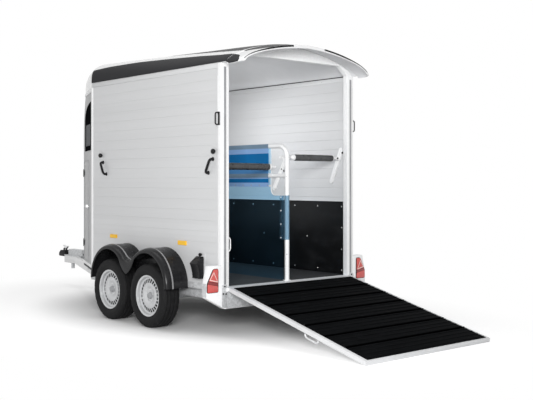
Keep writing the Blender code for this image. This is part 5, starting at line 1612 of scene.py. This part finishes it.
def makePartition():
    s = stallSet
    rear, front = s["post"], flip(s["post"], True)
    foot = floorTop + 0.0003
    bend = s["bend"]
    route = [(rear, foot), (rear, s["mid"])]
    route += arcPoints((rear - bend, s["top"] - bend), bend, 0, 90, 12)
    route += arcPoints((front + bend, s["top"] - bend), bend, 90, 180, 12)
    route += [(front, s["mid"]), (front, foot)]
    shape = bmesh.new()
    pipe(shape, [at(x, 0.0, z) for x, z in route], s["tube"], 24)
    pipe(shape, [at(rear, 0.0, s["mid"]), at(front, 0.0, s["mid"])], s["rail"], 24)
    for x in (rear, front):
        footPlate = [(0.0, 0.0), (0.040, 0.0), (0.040, 0.004), (0.028, 0.006), (0.0, 0.006)]
        turned(shape, footPlate, at(x, 0.0, foot), (0, 0, 1), 32, False)
        for z in (s["mid"] - 0.0215, s["mid"] + 0.0215):
            pipe(shape, [at(x, 0.0, z - 0.003), at(x, 0.0, z + 0.003)], s["tube"] + 0.0014, 24)
    piece(
        "partitionTubes", shape, "frameWhite", slot="galvanised_steel", stands=("partition_frame",),
        angle=40, merge=1e-6
    )
    for label, isFront in (("Rear", False), ("Front", True)):
        high = (flip(s["stripHigh"][0], isFront), s["stripHigh"][1])
        low = (flip(s["stripLow"][0], isFront), s["stripLow"][1])
        makeStrip("partitionStrip" + label + "Left", high, low, (-0.003, 0.0, -1))
        makeStrip("partitionStrip" + label + "Right", high, low, (0.0002, 0.003, 1))
        toward = 1 if isFront else -1
        edge = flip(rear, isFront) + toward * s["tube"]
        shape = bmesh.new()  # stop with a rubber knob on the post
        collar = [
            (0.0, -0.002), (0.011, -0.002), (0.011, 0.003), (0.005, 0.004), (0.005, 0.012), (0.0, 0.012)
        ]
        turned(shape, collar, at(edge, 0.0, 1.506), (toward, 0, 0), 20, False)
        piece("postStop" + label, shape, "frameWhite", slot="galvanised_steel")
        shape = bmesh.new()
        knob = [(0.0, 0.010), (0.007, 0.010), (0.010, 0.014), (0.010, 0.022), (0.007, 0.026), (0.0, 0.027)]
        turned(shape, knob, at(edge, 0.0, 1.506), (toward, 0, 0), 20, False)
        piece("postKnob" + label, shape, "sealRubber", slot="black_rubber")
        spots = [
            (
                at(flip(rear, isFront) - toward * s["tube"] * 0.7, -s["tube"] * 0.7, z),
                Vector((-toward, -1, 0)).normalized()
            )
            for z in (1.452, 1.30, 0.70)
        ]
        heads("postScrews" + label, spots, "screw", "grooveGrey", radius=0.005)


# heights of the panel's rows, and how far it dips between the tubes
def panelRows():
    heights = [1.772]
    edges = [high for high, name in panelBands] + [stallSet["hem"]]
    for high, low in zip(edges, edges[1:]):
        steps = 3 if high - low > 0.04 else 2
        heights += [high + (low - high) * k / steps for k in range(1, steps + 1)]
    return heights


def panelDip(z):
    s = stallSet
    for tube in (s["top"], s["mid"]):
        if abs(z - tube) < s["tube"]:
            return 0.0022 * (abs(z - tube) / s["tube"]) ** 2
    if z > s["mid"]:
        share = (z - s["mid"]) / (s["top"] - s["mid"])
    else:
        share = 0.5 * (s["mid"] - z) / (s["mid"] - s["hem"])
    return 0.0022 + 0.0060 * sin(pi * min(1.0, max(0.0, share)))


def bandOf(z):
    found = panelBands[0][1]
    for high, name in panelBands:
        if z < high - 1e-6:
            found = name
    return found


# a thin sheet from columns of heights; the finish of each face goes by its height
def clothSheet(name, columns, rowsAt, depthAt, finishes, finishAt=None, thick=0.0018):
    outer, inner = [], []
    for x in columns:
        rows = rowsAt(x)
        outer.append([at(x, depthAt(x, z) - thick / 2, z) for z in rows])
        inner.append([at(x, depthAt(x, z) + thick / 2, z) for z in rows])
    shape = bmesh.new()
    skin(shape, outer, inner)
    if finishAt:
        for face in shape.faces:
            face.material_index = finishes.index(finishAt(face.calc_center_median().z))
    return piece(name, shape, finishes, slot="deep_blue" if finishAt else "pale_blue", angle=70)


def makePanel():
    s = stallSet
    names = sorted({name for high, name in panelBands})
    rear, front = s["panelRear"], flip(s["panelRear"], True)
    columns = [rear + (front - rear) * k / 30 for k in range(31)]
    heights = panelRows()
    panel = clothSheet(
        "partitionSheet", columns, lambda x: heights, lambda x, z: s["cloth"] + panelDip(z), names, bandOf,
    )
    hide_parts("partition_panel")
    for label, isFront in (("Rear", False), ("Front", True)):
        a, b = flip(rear, isFront), flip(s["edgeRear"], isFront)
        for k, (low, high) in enumerate(
            ((s["mid"] + s["tube"], s["top"] - s["tube"]), (s["hem"] + 0.02, s["mid"] - s["tube"]))
        ):
            rows = [high + (low - high) * n / 6 for n in range(7)]
            strip = clothSheet(
                f"panelEdge{label}{k}", [a + (b - a) * n / 3 for n in range(4)], lambda x: rows,
                lambda x, z: s["cloth"] + panelDip(z), ["curtainBlue"],
            )
    rear - front
    spots = []
    for k in range(13):
        spots.append(
            (at(-0.334 - k * 0.1275, s["cloth"] - 0.0006 + panelDip(1.365), 1.365), Vector((0, -1, 0)))
        )
    heads("hemRivets", spots, "rivet", "brassRivet", radius=0.0062, height=0.003)


def curtainTop(x):
    s = stallSet
    rear = x if x > s["mirror"] / 2 else s["mirror"] - x
    out = rear - s["edgeRear"]
    if out <= 0:
        return s["hem"] - 0.0003
    if out >= s["corner"]:
        return s["curtainHigh"]
    return s["curtainHigh"] + s["corner"] - math.sqrt(max(0.0, s["corner"] ** 2 - (s["corner"] - out) ** 2))


# slow folds that grow towards the floor and die out beside the posts
def curtainWave(x, z):
    s = stallSet
    share = (s["hem"] - z) / (s["hem"] - s["curtainLow"])
    fold = sin(7.3 * x + 0.6) * 0.5 + sin(15.7 * x + 1.9 + 0.8 * z) * 0.32 + sin(31.0 * x - 2.0 * z) * 0.10
    beside = min(s["post"] - x, x - flip(s["post"], True))
    calm = smoothStep((beside - 0.09) / 0.15)
    return s["cloth"] + 0.0012 + 0.0085 * fold * share * (2 - share) * calm


# plan of the sleeve: a flap on the curtain, then most of a turn round the post
def sleevePlan(toward, push):
    s = stallSet
    radius = s["tube"] + 0.0006 + push
    lap = s["cloth"] - 0.0012 - push
    plan = [(toward * s["flap"], lap), (toward * s["flap"] * 0.62, lap), (toward * 0.026, lap)]
    for k in range(27):
        t = radians(250 * k / 26)
        plan.append((-toward * radius * sin(t), -radius * cos(t)))
    return plan


def makeSleeve(label, isFront):
    s = stallSet
    post = flip(s["post"], isFront)
    toward = 1 if isFront else -1
    tall = s["curtainHigh"] - s["sleeveLow"]
    levels = [s["sleeveLow"] + tall * k / 10 for k in range(11)]
    plan = sleevePlan(toward, 0.0012)
    outer = [[at(post + a, b, z) for a, b in plan] for z in levels]
    inner = [[at(post + a, b, z) for a, b in sleevePlan(toward, 0.0)] for z in levels]
    shape = bmesh.new()
    skin(shape, outer, inner)
    sleeve = piece(
        "postSleeve" + label, shape, "sleeveBlue", slot="pale_blue", stands=("partition_curtain",), angle=70
    )
    x = post + toward * s["flap"] * 0.80
    face = s["cloth"] - 0.0025
    shape = bmesh.new()  # dark strips between the eyelets: painted shade in the open slots
    spots = []
    for k in range(4):
        z = s["curtainHigh"] - 0.018 - k * 0.131
        spots.append((at(x, face, z), Vector((0, -1, 0))))
        if k < 3:
            box(
                shape, at(x - 0.0035, face - 0.0014, z - 0.116), at(x + 0.0035, face - 0.0001, z - 0.015),
                0.0004
            )
    slotShade = piece("sleeveLace" + label, shape, "sealRubber", slot="black_rubber")
    eyelets = heads("sleeveEyelets" + label, spots, "rivet", "whitePlastic", radius=0.0075, height=0.003)


# pale binding round the cut-out between the panel and the post
def makeBinding(label, isFront):
    s = stallSet
    c = s["corner"]
    edge = s["edgeRear"] + 0.002
    route = [(edge, s["top"] - s["tube"]), (edge, s["mid"])]
    route += [(x + 0.002, z) for x, z in arcPoints((s["edgeRear"] + c, s["curtainHigh"] + c), c, 180, 270, 8)]
    route.append((s["post"] - s["tube"] - 0.001, s["curtainHigh"] + 0.001))
    shape = bmesh.new()
    pipe(shape, [at(flip(x, isFront), s["cloth"] - 0.001, z) for x, z in route], 0.0032, 8)
    return piece("cutBinding" + label, shape, "whitePlastic", slot="pale_blue", angle=60)


def makeCurtain():
    s = stallSet
    rear, front = s["post"] - 0.026, flip(s["post"] - 0.026, True)
    middle = [-0.34 - (-s["mirror"] - 0.68) * k / 60 for k in range(61)]
    arcs = [s["edgeRear"] + s["corner"] * (1 - cos(pi / 2 * k / 8)) for k in range(9)]
    near = [rear, rear - 0.04, rear - 0.08] + list(reversed(arcs)) + [s["edgeRear"] - 0.0004, -0.30]
    columns = near + middle + [flip(x, True) for x in reversed(near)]

    def rowsAt(x):
        top = curtainTop(x)
        return [top + (s["curtainLow"] - top) * k / 26 for k in range(27)]

    curtain = clothSheet("partitionCurtain", columns, rowsAt, curtainWave, ["curtainBlue"])
    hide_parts("partition_curtain")
    for label, isFront in (("Rear", False), ("Front", True)):
        makeSleeve(label, isFront)
        makeBinding(label, isFront)
    rear - front


makePartition()
makePanel()
makeCurtain()
print("partition made")


# stall bars: a padded sleeve between white end caps, on an eye that drops about its pin
barSet = {
    "pad": 0.0325, "neck": 0.012, "eye": 0.017, "eyeHalf": 0.014, "pin": 0.0068, "start": 0.060,
    "clear": 0.012, "tip": 0.013,
    "padStop": {"left": 0.101, "right": 0.190}, "capStop": {"left": 0.057, "right": 0.150},
}
bracketSet = {"high": (-0.143, 1.727), "low": (-0.282, 1.406), "face": 0.8127}


def jointAt(name):
    return Vector([j for j in frame["joints"] if j["name"] == name][0]["pos_m"])


def makeBar(kind, label, side):
    b = barSet
    body = f"{kind}_bar_{label}"
    pivot = jointAt(f"{kind}_bar_drop_{label}")
    length = abs(pivot.y) - b["clear"]
    inward = (0, -side, 0)
    tag = kind.title() + label.title()
    shape = bmesh.new()
    eye, wide = b["eye"], b["eyeHalf"]
    ring = [
        (b["pin"], -wide), (eye - 0.001, -wide), (eye, 0.001 - wide), (eye, wide - 0.001),
        (eye - 0.001, wide), (b["pin"], wide)
    ]
    turned(shape, ring, pivot, (1, 0, 0), 28)
    outerCap = [
        (0.0, 0.014), (b["neck"], 0.014), (b["neck"], 0.034), (0.020, 0.040), (0.027, 0.048),
        (0.031, 0.058), (0.031, 0.066), (0.0, 0.066)
    ]
    turned(shape, outerCap, pivot, inward, 28, False)
    stop, cone = (abs(pivot.y) - b[key][label] for key in ("padStop", "capStop"))
    run = cone - stop
    innerCap = [
        (0.0, stop - 0.002), (0.031, stop - 0.002), (0.031, stop + run * 0.35), (0.026, stop + run * 0.75),
        (b["tip"], cone), (b["tip"], length - 0.002), (b["tip"] - 0.002, length), (0.0, length),
    ]
    turned(shape, innerCap, pivot, inward, 28, False)
    piece("barCaps" + tag, shape, "whitePlastic", body, "charcoal_plastic", (body,), 40)
    start, end = b["start"], stop
    line = [
        (0.0, start), (b["pad"] - 0.0060, start), (b["pad"] - 0.0025, start + 0.0012),
        (b["pad"] - 0.0010, start + 0.005)
    ]
    for k in range(21):
        t = k / 20
        swell = 0.0012 * sin(pi * t) ** 0.6
        line.append((b["pad"] - 0.0013 + swell, start + 0.012 + (end - start - 0.024) * t))
    line += [
        (b["pad"] - 0.0010, end - 0.005), (b["pad"] - 0.0025, end - 0.0012), (b["pad"] - 0.0060, end),
        (0.0, end)
    ]
    shape = bmesh.new()
    turned(shape, line, pivot, inward, 40, False)
    pad = piece("barPad" + tag, shape, "barFoam", body, "charcoal_plastic", angle=40)
    shape = bmesh.new()  # welded seam along the underside
    seam = [
        pivot + Vector((0, -side * (start + 0.01 + (end - start - 0.02) * k / 12), -b["pad"] + 0.0006))
        for k in range(13)
    ]
    pipe(shape, seam, 0.0016, 6)
    piece("barSeam" + tag, shape, "barFoam", body, "charcoal_plastic", angle=60)


def makeBracket(end, label, side):
    node = f"bar_bracket_{end}_{label}"
    s = bracketSet
    isFront = end == "front"
    kind = "breast" if isFront else "rear"
    tag = end.title() + label.title()
    refine(node, "frameWhite", 0.0012, 2, "galvanised_steel")
    pivot = jointAt(f"{kind}_bar_drop_{label}")
    high, low = (Vector((flip(s[k][0], isFront), s[k][1])) for k in ("high", "low"))
    along = (low - high).normalized()
    across = Vector((-along.y, along.x)) * 0.0105
    length = (low - high).length
    hold = (high.y - pivot.z) / (high.y - low.y)
    shape = bmesh.new()
    faces = sorted((side * (s["face"] - 0.0002), side * (s["face"] - 0.0050)))
    lengths = ((0.02, 0.24), (0.28, hold - 0.09), (hold + 0.09, 0.98))
    if hold < 0.4:
        lengths = ((0.02, hold - 0.10), (hold + 0.10, 0.98))
    for start, stop in lengths:
        a, b = high + along * length * start, high + along * length * stop
        corners = [tuple(a + across), tuple(b + across), tuple(b - across), tuple(a - across)]
        slab(shape, roundCorners(corners, 0.004, 3), "xz", *faces)
    piece("bracketChannel" + tag, shape, "frameWhite", slot="galvanised_steel", angle=40)
    spots = [(pivot + Vector((lean * 0.0230, 0, 0)), Vector((lean, 0, 0))) for lean in (-1, 1)]
    heads("barBolts" + tag, spots, "bolt", "blackTrim", radius=0.0105, height=0.009)
    shape = bmesh.new()  # knob of the quick release above the bracket
    spot = at(
        flip(s["high"][0] + 0.034, isFront), side * (half - wallSet["thick"] - 0.0004), s["high"][1] - 0.030
    )
    knob = [
        (0.0, 0.0), (0.012, 0.0), (0.012, 0.004), (0.006, 0.006), (0.006, 0.012), (0.010, 0.015),
        (0.010, 0.024), (0.006, 0.027), (0.0, 0.027)
    ]
    turned(shape, knob, spot, (0, -side, 0), 20, False)
    piece("releaseKnob" + tag, shape, "sealRubber", slot="black_rubber", angle=40)


for barLabel, barSide in sides:
    for barEnd, barKind in (("rear", "rear"), ("front", "breast")):
        makeBar(barKind, barLabel, barSide)
        makeBracket(barEnd, barLabel, barSide)


# kick boards with rows of rivets and a top trim
kickSet = {
    "pitch": 0.357, "first": -0.128, "count": 6, "high": 1.143, "low": 0.487, "face": 0.8127, "top": 1.1951
}


def makeKick():
    k = kickSet
    for label, side in sides:
        tag = label.title()
        refine("kick_board_" + label, "kickBoard", 0.0012, 2, "black_board")
        facing = Vector((0, -side, 0))
        spots = []
        for n in range(k["count"]):
            x = k["first"] - n * k["pitch"]
            spots += [(at(x, side * k["face"], z), facing) for z in (k["low"], k["high"])]
            if n % 2 == 1:
                spots.append((at(x - 0.162, side * k["face"], 0.818), facing))
        spots += [(at(k["first"], side * k["face"], z), facing) for z in (0.702, 0.926)]
        heads("kickRivets" + tag, spots, "rivet", "brightZinc", radius=0.0066, height=0.0025)
        low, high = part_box("kick_board_" + label)
        shape = bmesh.new()
        inner, outer = sorted((side * (k["face"] - 0.0014), side * (half - wallSet["thick"] - 0.0003)))
        box(shape, (low.x, inner, k["top"] + 0.0003), (high.x, outer, k["top"] + 0.0033), 0.0008)
        piece("kickTrim" + tag, shape, "plank", slot="silver_panel")


# marker reflectors, release caps and rail rivets on the walls
wallFit = {
    "reflectors": ((-1.925, -1.791, 0.805, 0.843), (-0.677, -0.539, 0.797, 0.839)),
    "caps": ((-2.106, 1.682), (-0.101, 1.676))
}


def makeWallFittings():
    for label, side in sides:
        tag = label.title()
        out = Vector((0, side, 0))
        for k, (a, b, low, high) in enumerate(wallFit["reflectors"]):
            for name, inset, near, far, finish in (
                ("Seat", 0.0, 0.0002, 0.006, "amberLens"), ("Lens", 0.003, 0.006, 0.011, "amberLens")
            ):
                shape = bmesh.new()
                loop = roundedBox(a + inset, low + inset, b - inset, high - inset, 0.006, 4)
                slab(shape, loop, "xz", *sorted((side * (half + near), side * (half + far))))
                piece(f"reflector{name}{tag}{k}", shape, finish, slot="lamp_red", angle=40)
        for k, (x, z) in enumerate(wallFit["caps"]):
            shape = bmesh.new()
            knob = [
                (0.0, 0.0), (0.012, 0.0), (0.012, 0.008), (0.022, 0.012), (0.024, 0.026), (0.019, 0.033),
                (0.0, 0.034)
            ]
            turned(shape, knob, at(x, side * (half + 0.0002), z), out, 28, False)
            piece(f"releaseCap{tag}{k}", shape, "blackTrim", slot="charcoal_plastic")
        spots = [
            (at(-0.12 - 0.157 * k, side * (half - wallSet["thick"] - 0.003), 2.452), -out)
            for k in range(14)
        ]
        heads("railRivets" + tag, spots, "rivet", "brightZinc", radius=0.005)
        spots = [(at(-0.10 - 0.24 * k, side * (half + 0.0034), 0.434), out) for k in range(10)]
        heads("footRivets" + tag, spots, "rivet", "zinc", radius=0.006)


# outside loops, ramp latches and the chock
loopSet = {"high": (-0.128, 1.607), "low": (-0.196, 1.482), "radius": 0.0122, "stand": 0.038}
latchSet = {"x": -0.030, "post": 0.0087, "high": 2.025, "low": 1.917, "reach": 0.040, "rod": 0.006}
chockSet = {
    "front": -0.382, "rear": -0.265, "high": 0.710, "reach": 0.082, "tip": 0.647, "low": 0.506,
    "knob": (-0.302, 0.726)
}


def makeLoops():
    s = loopSet
    for label, side in sides:
        for end in ends:
            isFront = end == "front"
            high, low = (Vector((flip(s[k][0], isFront), s[k][1])) for k in ("high", "low"))
            route = [(0.0, 0.0)] + [
                (0.22 * (1 - cos(radians(t))), s["stand"] * (0.45 + 0.55 * sin(radians(t))))
                for t in range(0, 91, 15)
            ]
            route += [(1 - share, out) for share, out in reversed(route)]
            points = []
            for share, out in route:
                spot = high + (low - high) * share
                points.append(at(spot.x, side * (half + 0.0003 + out), spot.y))
            shape = bmesh.new()
            pipe(shape, points, s["radius"], 16)
            for spot in (high, low):
                foot = [(0.0, 0.0), (0.019, 0.0), (0.019, 0.003), (0.014, 0.0075), (0.0, 0.0075)]
                turned(shape, foot, at(spot.x, side * (half + 0.0003), spot.y), (0, side, 0), 24, False)
            tag = end.title() + label.title()
            piece(
                "tieLoop" + tag, shape, "blackTrim", slot="charcoal_plastic",
                stands=(f"tie_loop_{end}_{label}",), angle=50
            )


def makeLatches():
    s = latchSet
    for label, side in sides:
        seat = half + 0.0003 + 0.009
        shape = bmesh.new()
        post = [
            (0.0, s["low"] - s["rod"]), (s["post"] - 0.001, s["low"] - s["rod"]),
            (s["post"], s["low"] - s["rod"] + 0.001)
        ]
        post += [
            (s["post"], s["high"] + s["rod"] - 0.001), (s["post"] - 0.001, s["high"] + s["rod"]),
            (0.0, s["high"] + s["rod"])
        ]
        turned(shape, post, at(s["x"], side * seat, 0.0), (0, 0, 1), 20, False)
        c = s["reach"] * 0.4
        bail = [(0.0, s["high"])] + [
            (s["reach"] - c + c * sin(radians(t)), s["high"] - c + c * cos(radians(t)))
            for t in range(0, 91, 15)
        ]
        bail += [
            (s["reach"] - c + c * cos(radians(t)), s["low"] + c - c * sin(radians(t)))
            for t in range(0, 91, 15)
        ] + [(0.0, s["low"])]
        pipe(shape, [at(s["x"], side * (seat + out), z) for out, z in bail], s["rod"], 12)
        piece(
            "rampLatch" + label.title(), shape, "blackTrim", "ramp_latch_" + label, "charcoal_plastic",
            ("ramp_latch_" + label,), 50
        )
        shape = bmesh.new()
        for z in (s["high"] + s["rod"] + 0.009, s["low"] - s["rod"] - 0.009):
            near, far = sorted((side * (half + 0.0030), side * (half + 0.016)))
            box(shape, at(s["x"] - 0.014, near, z - 0.007), at(s["x"] + 0.014, far, z + 0.007), 0.003)
        piece("latchSeats" + label.title(), shape, "frameWhite", slot="galvanised_steel")


def makeChock():
    s = chockSet
    refine("wheel_chock", "guardPlastic", 0.004, 3, "charcoal_plastic")
    wall = -half - 0.0003
    start, stop = Vector((wall, s["high"])), Vector((wall - s["reach"], s["tip"]))
    slope = (stop - start).normalized()
    lift = Vector((slope.y, -slope.x)) * 0.004
    shape = bmesh.new()  # grip ribs across the sloping top
    for k in range(5):
        spot = start + slope * (0.012 + 0.017 * k)
        loop = [spot, spot + slope * 0.008, spot + slope * 0.006 + lift, spot + slope * 0.002 + lift]
        slab(shape, [tuple(point) for point in loop], "yz", s["front"] + 0.006, s["rear"] - 0.006)
    piece("chockRibs", shape, "guardPlastic", slot="charcoal_plastic", angle=40)
    shape = bmesh.new()  # holder plate on the wall behind the chock
    a, b = s["front"] - 0.022, s["rear"] + 0.020
    loop = roundCorners(
        [(a, s["low"] + 0.02), (b, s["low"] + 0.02), (b, s["high"] + 0.045), (a, s["high"] + 0.01)], 0.012,
        4
    )
    slab(shape, loop, "xz", wall, wall - 0.0028)
    piece("chockPlate", shape, "plank", slot="silver_panel", angle=40)
    shape = bmesh.new()
    knob = [
        (0.0, 0.0), (0.011, 0.0), (0.011, 0.010), (0.016, 0.014), (0.016, 0.024), (0.010, 0.029),
        (0.0, 0.030)
    ]
    turned(shape, knob, at(s["knob"][0], wall - 0.002, s["knob"][1]), (0, -1, 0), 24, False)
    piece("chockKnob", shape, "sealRubber", slot="black_rubber", angle=40)


# front end: coupling, bellows, brake lever grip, prop socket, chassis members and floor
couplingSet = {
    "gaiterFront": -4.459, "gaiterRear": -4.3605, "height": 0.445, "folds": 5, "thin": 0.0275,
    "thick": 0.039
}


def makeFrontEnd():
    c = couplingSet
    refine("coupling_head", "blackTrim", 0.004, 3, "galvanised_steel")
    refine("coupling_lever", "brightZinc", 0.003, 3, "galvanised_steel")
    refine("overrun_housing", "zinc", 0.003, 2, "galvanised_steel")
    refine("handbrake_lever", "zinc", 0.001, 2, "charcoal_plastic")
    refine("prop_socket", "zinc", 0.001, 2, "galvanised_steel")
    for label, side in sides:
        refine("drawbar_" + label, "frameWhite", 0.003, 2, "galvanised_steel")
        refine("sill_" + label, "zinc", 0.003, 2, "galvanised_steel")
    for end in ends:
        refine("axle_" + end, "zinc", 0.006, 3, "galvanised_steel")
    # stall floor in the lighter copy of the black rubber: painted light
    refine("floor_board", "stallFloor", 0.002, 2, "black_rubber")
    line = []
    run = c["gaiterRear"] - c["gaiterFront"]
    count = c["folds"] * 8
    for k in range(count + 1):
        t = k / count
        swell = 0.5 - 0.5 * cos(2 * pi * t * c["folds"])
        line.append((c["thin"] + (c["thick"] - c["thin"]) * swell, c["gaiterFront"] + run * t))
    line += [(radius - 0.0018, along) for radius, along in reversed(line)]
    shape = bmesh.new()
    turned(shape, line, at(0.0, 0.0, c["height"]), (1, 0, 0), 32)
    gaiter = piece("overrunBellows", shape, "sealRubber", slot="black_rubber", angle=60)
    tuple(at(c["gaiterRear"], 0.0, c["height"]))
    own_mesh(gaiter)
    hinge = jointAt("handbrake_hinge")
    turn = Matrix.Rotation(radians(52.0), 3, "Y")
    shape = bmesh.new()
    grip = [(0.0, 0.152), (0.008, 0.1515), (0.0125, 0.149), (0.0135, 0.145)]
    for k in range(6):
        grip += [(0.0142, 0.140 - k * 0.013), (0.0128, 0.134 - k * 0.013), (0.0128, 0.131 - k * 0.013)]
    grip += [(0.0142, 0.060), (0.0125, 0.056), (0.0112, 0.056)]
    turned(shape, grip, hinge, turn @ Vector((-1, 0, 0)), 24, False)
    piece("brakeGrip", shape, "sealRubber", "handbrake_lever", "charcoal_plastic", angle=50)


makeKick()
makeWallFittings()
makeLoops()
makeLatches()
makeChock()
makeFrontEnd()
print("fittings made")


# camera, floor and light
viewSet = {"spot": (6.368, -5.780, 1.404), "turn": 49.379, "lens": 60.36, "shift": -0.0351}
stageSet = {
    "radius": 60.0, "pale": 0.88, "fade": (2.1, 3.3), "near": (1.2, 2.0), "glow": 0.34, "ambient": 0.40
}


def makeCamera():
    v = viewSet
    data = bpy.data.cameras.new("camera")
    data.lens = v["lens"]
    data.sensor_width = 36.0
    data.shift_y = v["shift"]
    data.clip_end = 200.0
    made = bpy.data.objects.new("camera", data)
    made.location = at(*v["spot"])
    made.rotation_euler = (radians(90.0), 0.0, radians(v["turn"]))
    scene.collection.objects.link(made)
    scene.camera = made


def makeLamp(name, spot, aim, size, power):
    data = bpy.data.lights.new(name, "AREA")
    data.shape = "RECTANGLE"
    data.size, data.size_y = size
    data.energy = power
    made = bpy.data.objects.new(name, data)
    made.location = spot
    made.rotation_euler = (Vector(aim) - Vector(spot)).to_track_quat("-Z", "Y").to_euler()
    scene.collection.objects.link(made)


# pale ground that takes the shadow and turns to plain white away from the trailer
def makeFloor():
    s = stageSet
    shape = bmesh.new()
    bmesh.ops.create_circle(shape, cap_ends=True, radius=s["radius"], segments=64)
    mesh = bpy.data.meshes.new("ground")
    shape.to_mesh(mesh)
    shape.free()
    ground = link("ground", mesh)
    finish = Finish("groundPaper", (s["pale"],) * 3, 0.9)
    tree = finish.tree
    flat = finish.node(
        "ShaderNodeVectorMath", {"operation": "MULTIPLY"}, {0: finish.place, 1: (0.75, 1.15, 0.0)}
    )
    away = finish.node("ShaderNodeVectorMath", {"operation": "LENGTH"}, {0: flat}, "Value")
    light = tree.nodes.new("ShaderNodeLightPath")
    toCamera = Wire(finish, light.outputs["Is Camera Ray"])
    toGloss = Wire(finish, light.outputs["Is Glossy Ray"])
    throughGlass = Wire(finish, light.outputs["Is Transmission Ray"])
    seen = toCamera + toGloss + throughGlass
    seen = seen.mathNode("MINIMUM", seen, 1.0)
    share = away.ramp(*s["fade"]) * seen
    finish.put("Emission Color", away.ramp(*s["near"]) * seen)
    finish.put("Emission Strength", s["glow"])
    glow = finish.node("ShaderNodeEmission", {}, {"Color": (1.0, 1.0, 1.0, 1.0), "Strength": 1.0})
    shader = Wire(finish, finish.shader.outputs[0])
    both = finish.node("ShaderNodeMixShader", {}, {0: share, 1: shader, 2: glow})
    tree.links.new(both.socket, tree.nodes["Material Output"].inputs["Surface"])
    mesh.materials.append(finish.material)


def makeWorld():
    world = bpy.data.worlds.new("studio")
    scene.world = world
    world.use_nodes = True
    graph = Graph(world.node_tree)
    world.node_tree.nodes.clear()
    light = world.node_tree.nodes.new("ShaderNodeLightPath")
    rays = [Wire(graph, light.outputs[k]) for k in ("Is Camera Ray", "Is Glossy Ray", "Is Transmission Ray")]
    seen = rays[0] + rays[1] + rays[2]
    ambient = stageSet["ambient"]
    strength = seen.mathNode("MINIMUM", seen, 1.0) * (1.0 - ambient) + ambient
    back = graph.node("ShaderNodeBackground", {}, {"Color": (1.0, 1.0, 1.0, 1.0), "Strength": strength})
    out = world.node_tree.nodes.new("ShaderNodeOutputWorld")
    world.node_tree.links.new(back.socket, out.inputs["Surface"])


makeCamera()
makeFloor()
makeWorld()
makeLamp("overhead", (0.0, -1.0, 7.5), (-0.3, 0.0, 1.0), (7.0, 1.4), 100.0)
makeLamp("leftStall", at(-1.20, -0.79, 1.80), at(-1.20, 0.80, 1.80), (2.0, 1.0), 5.0)
makeLamp("rightStall", at(-1.60, 0.05, 1.68), at(-1.60, 0.80, 1.74), (1.7, 1.4), 9.5)
makeLamp("fill", at(6.9, -6.6, 3.0), at(-0.3, 0.2, 1.4), (3.0, 2.0), 785.0)
scene.view_settings.view_transform = "Standard"

print("scene ready")
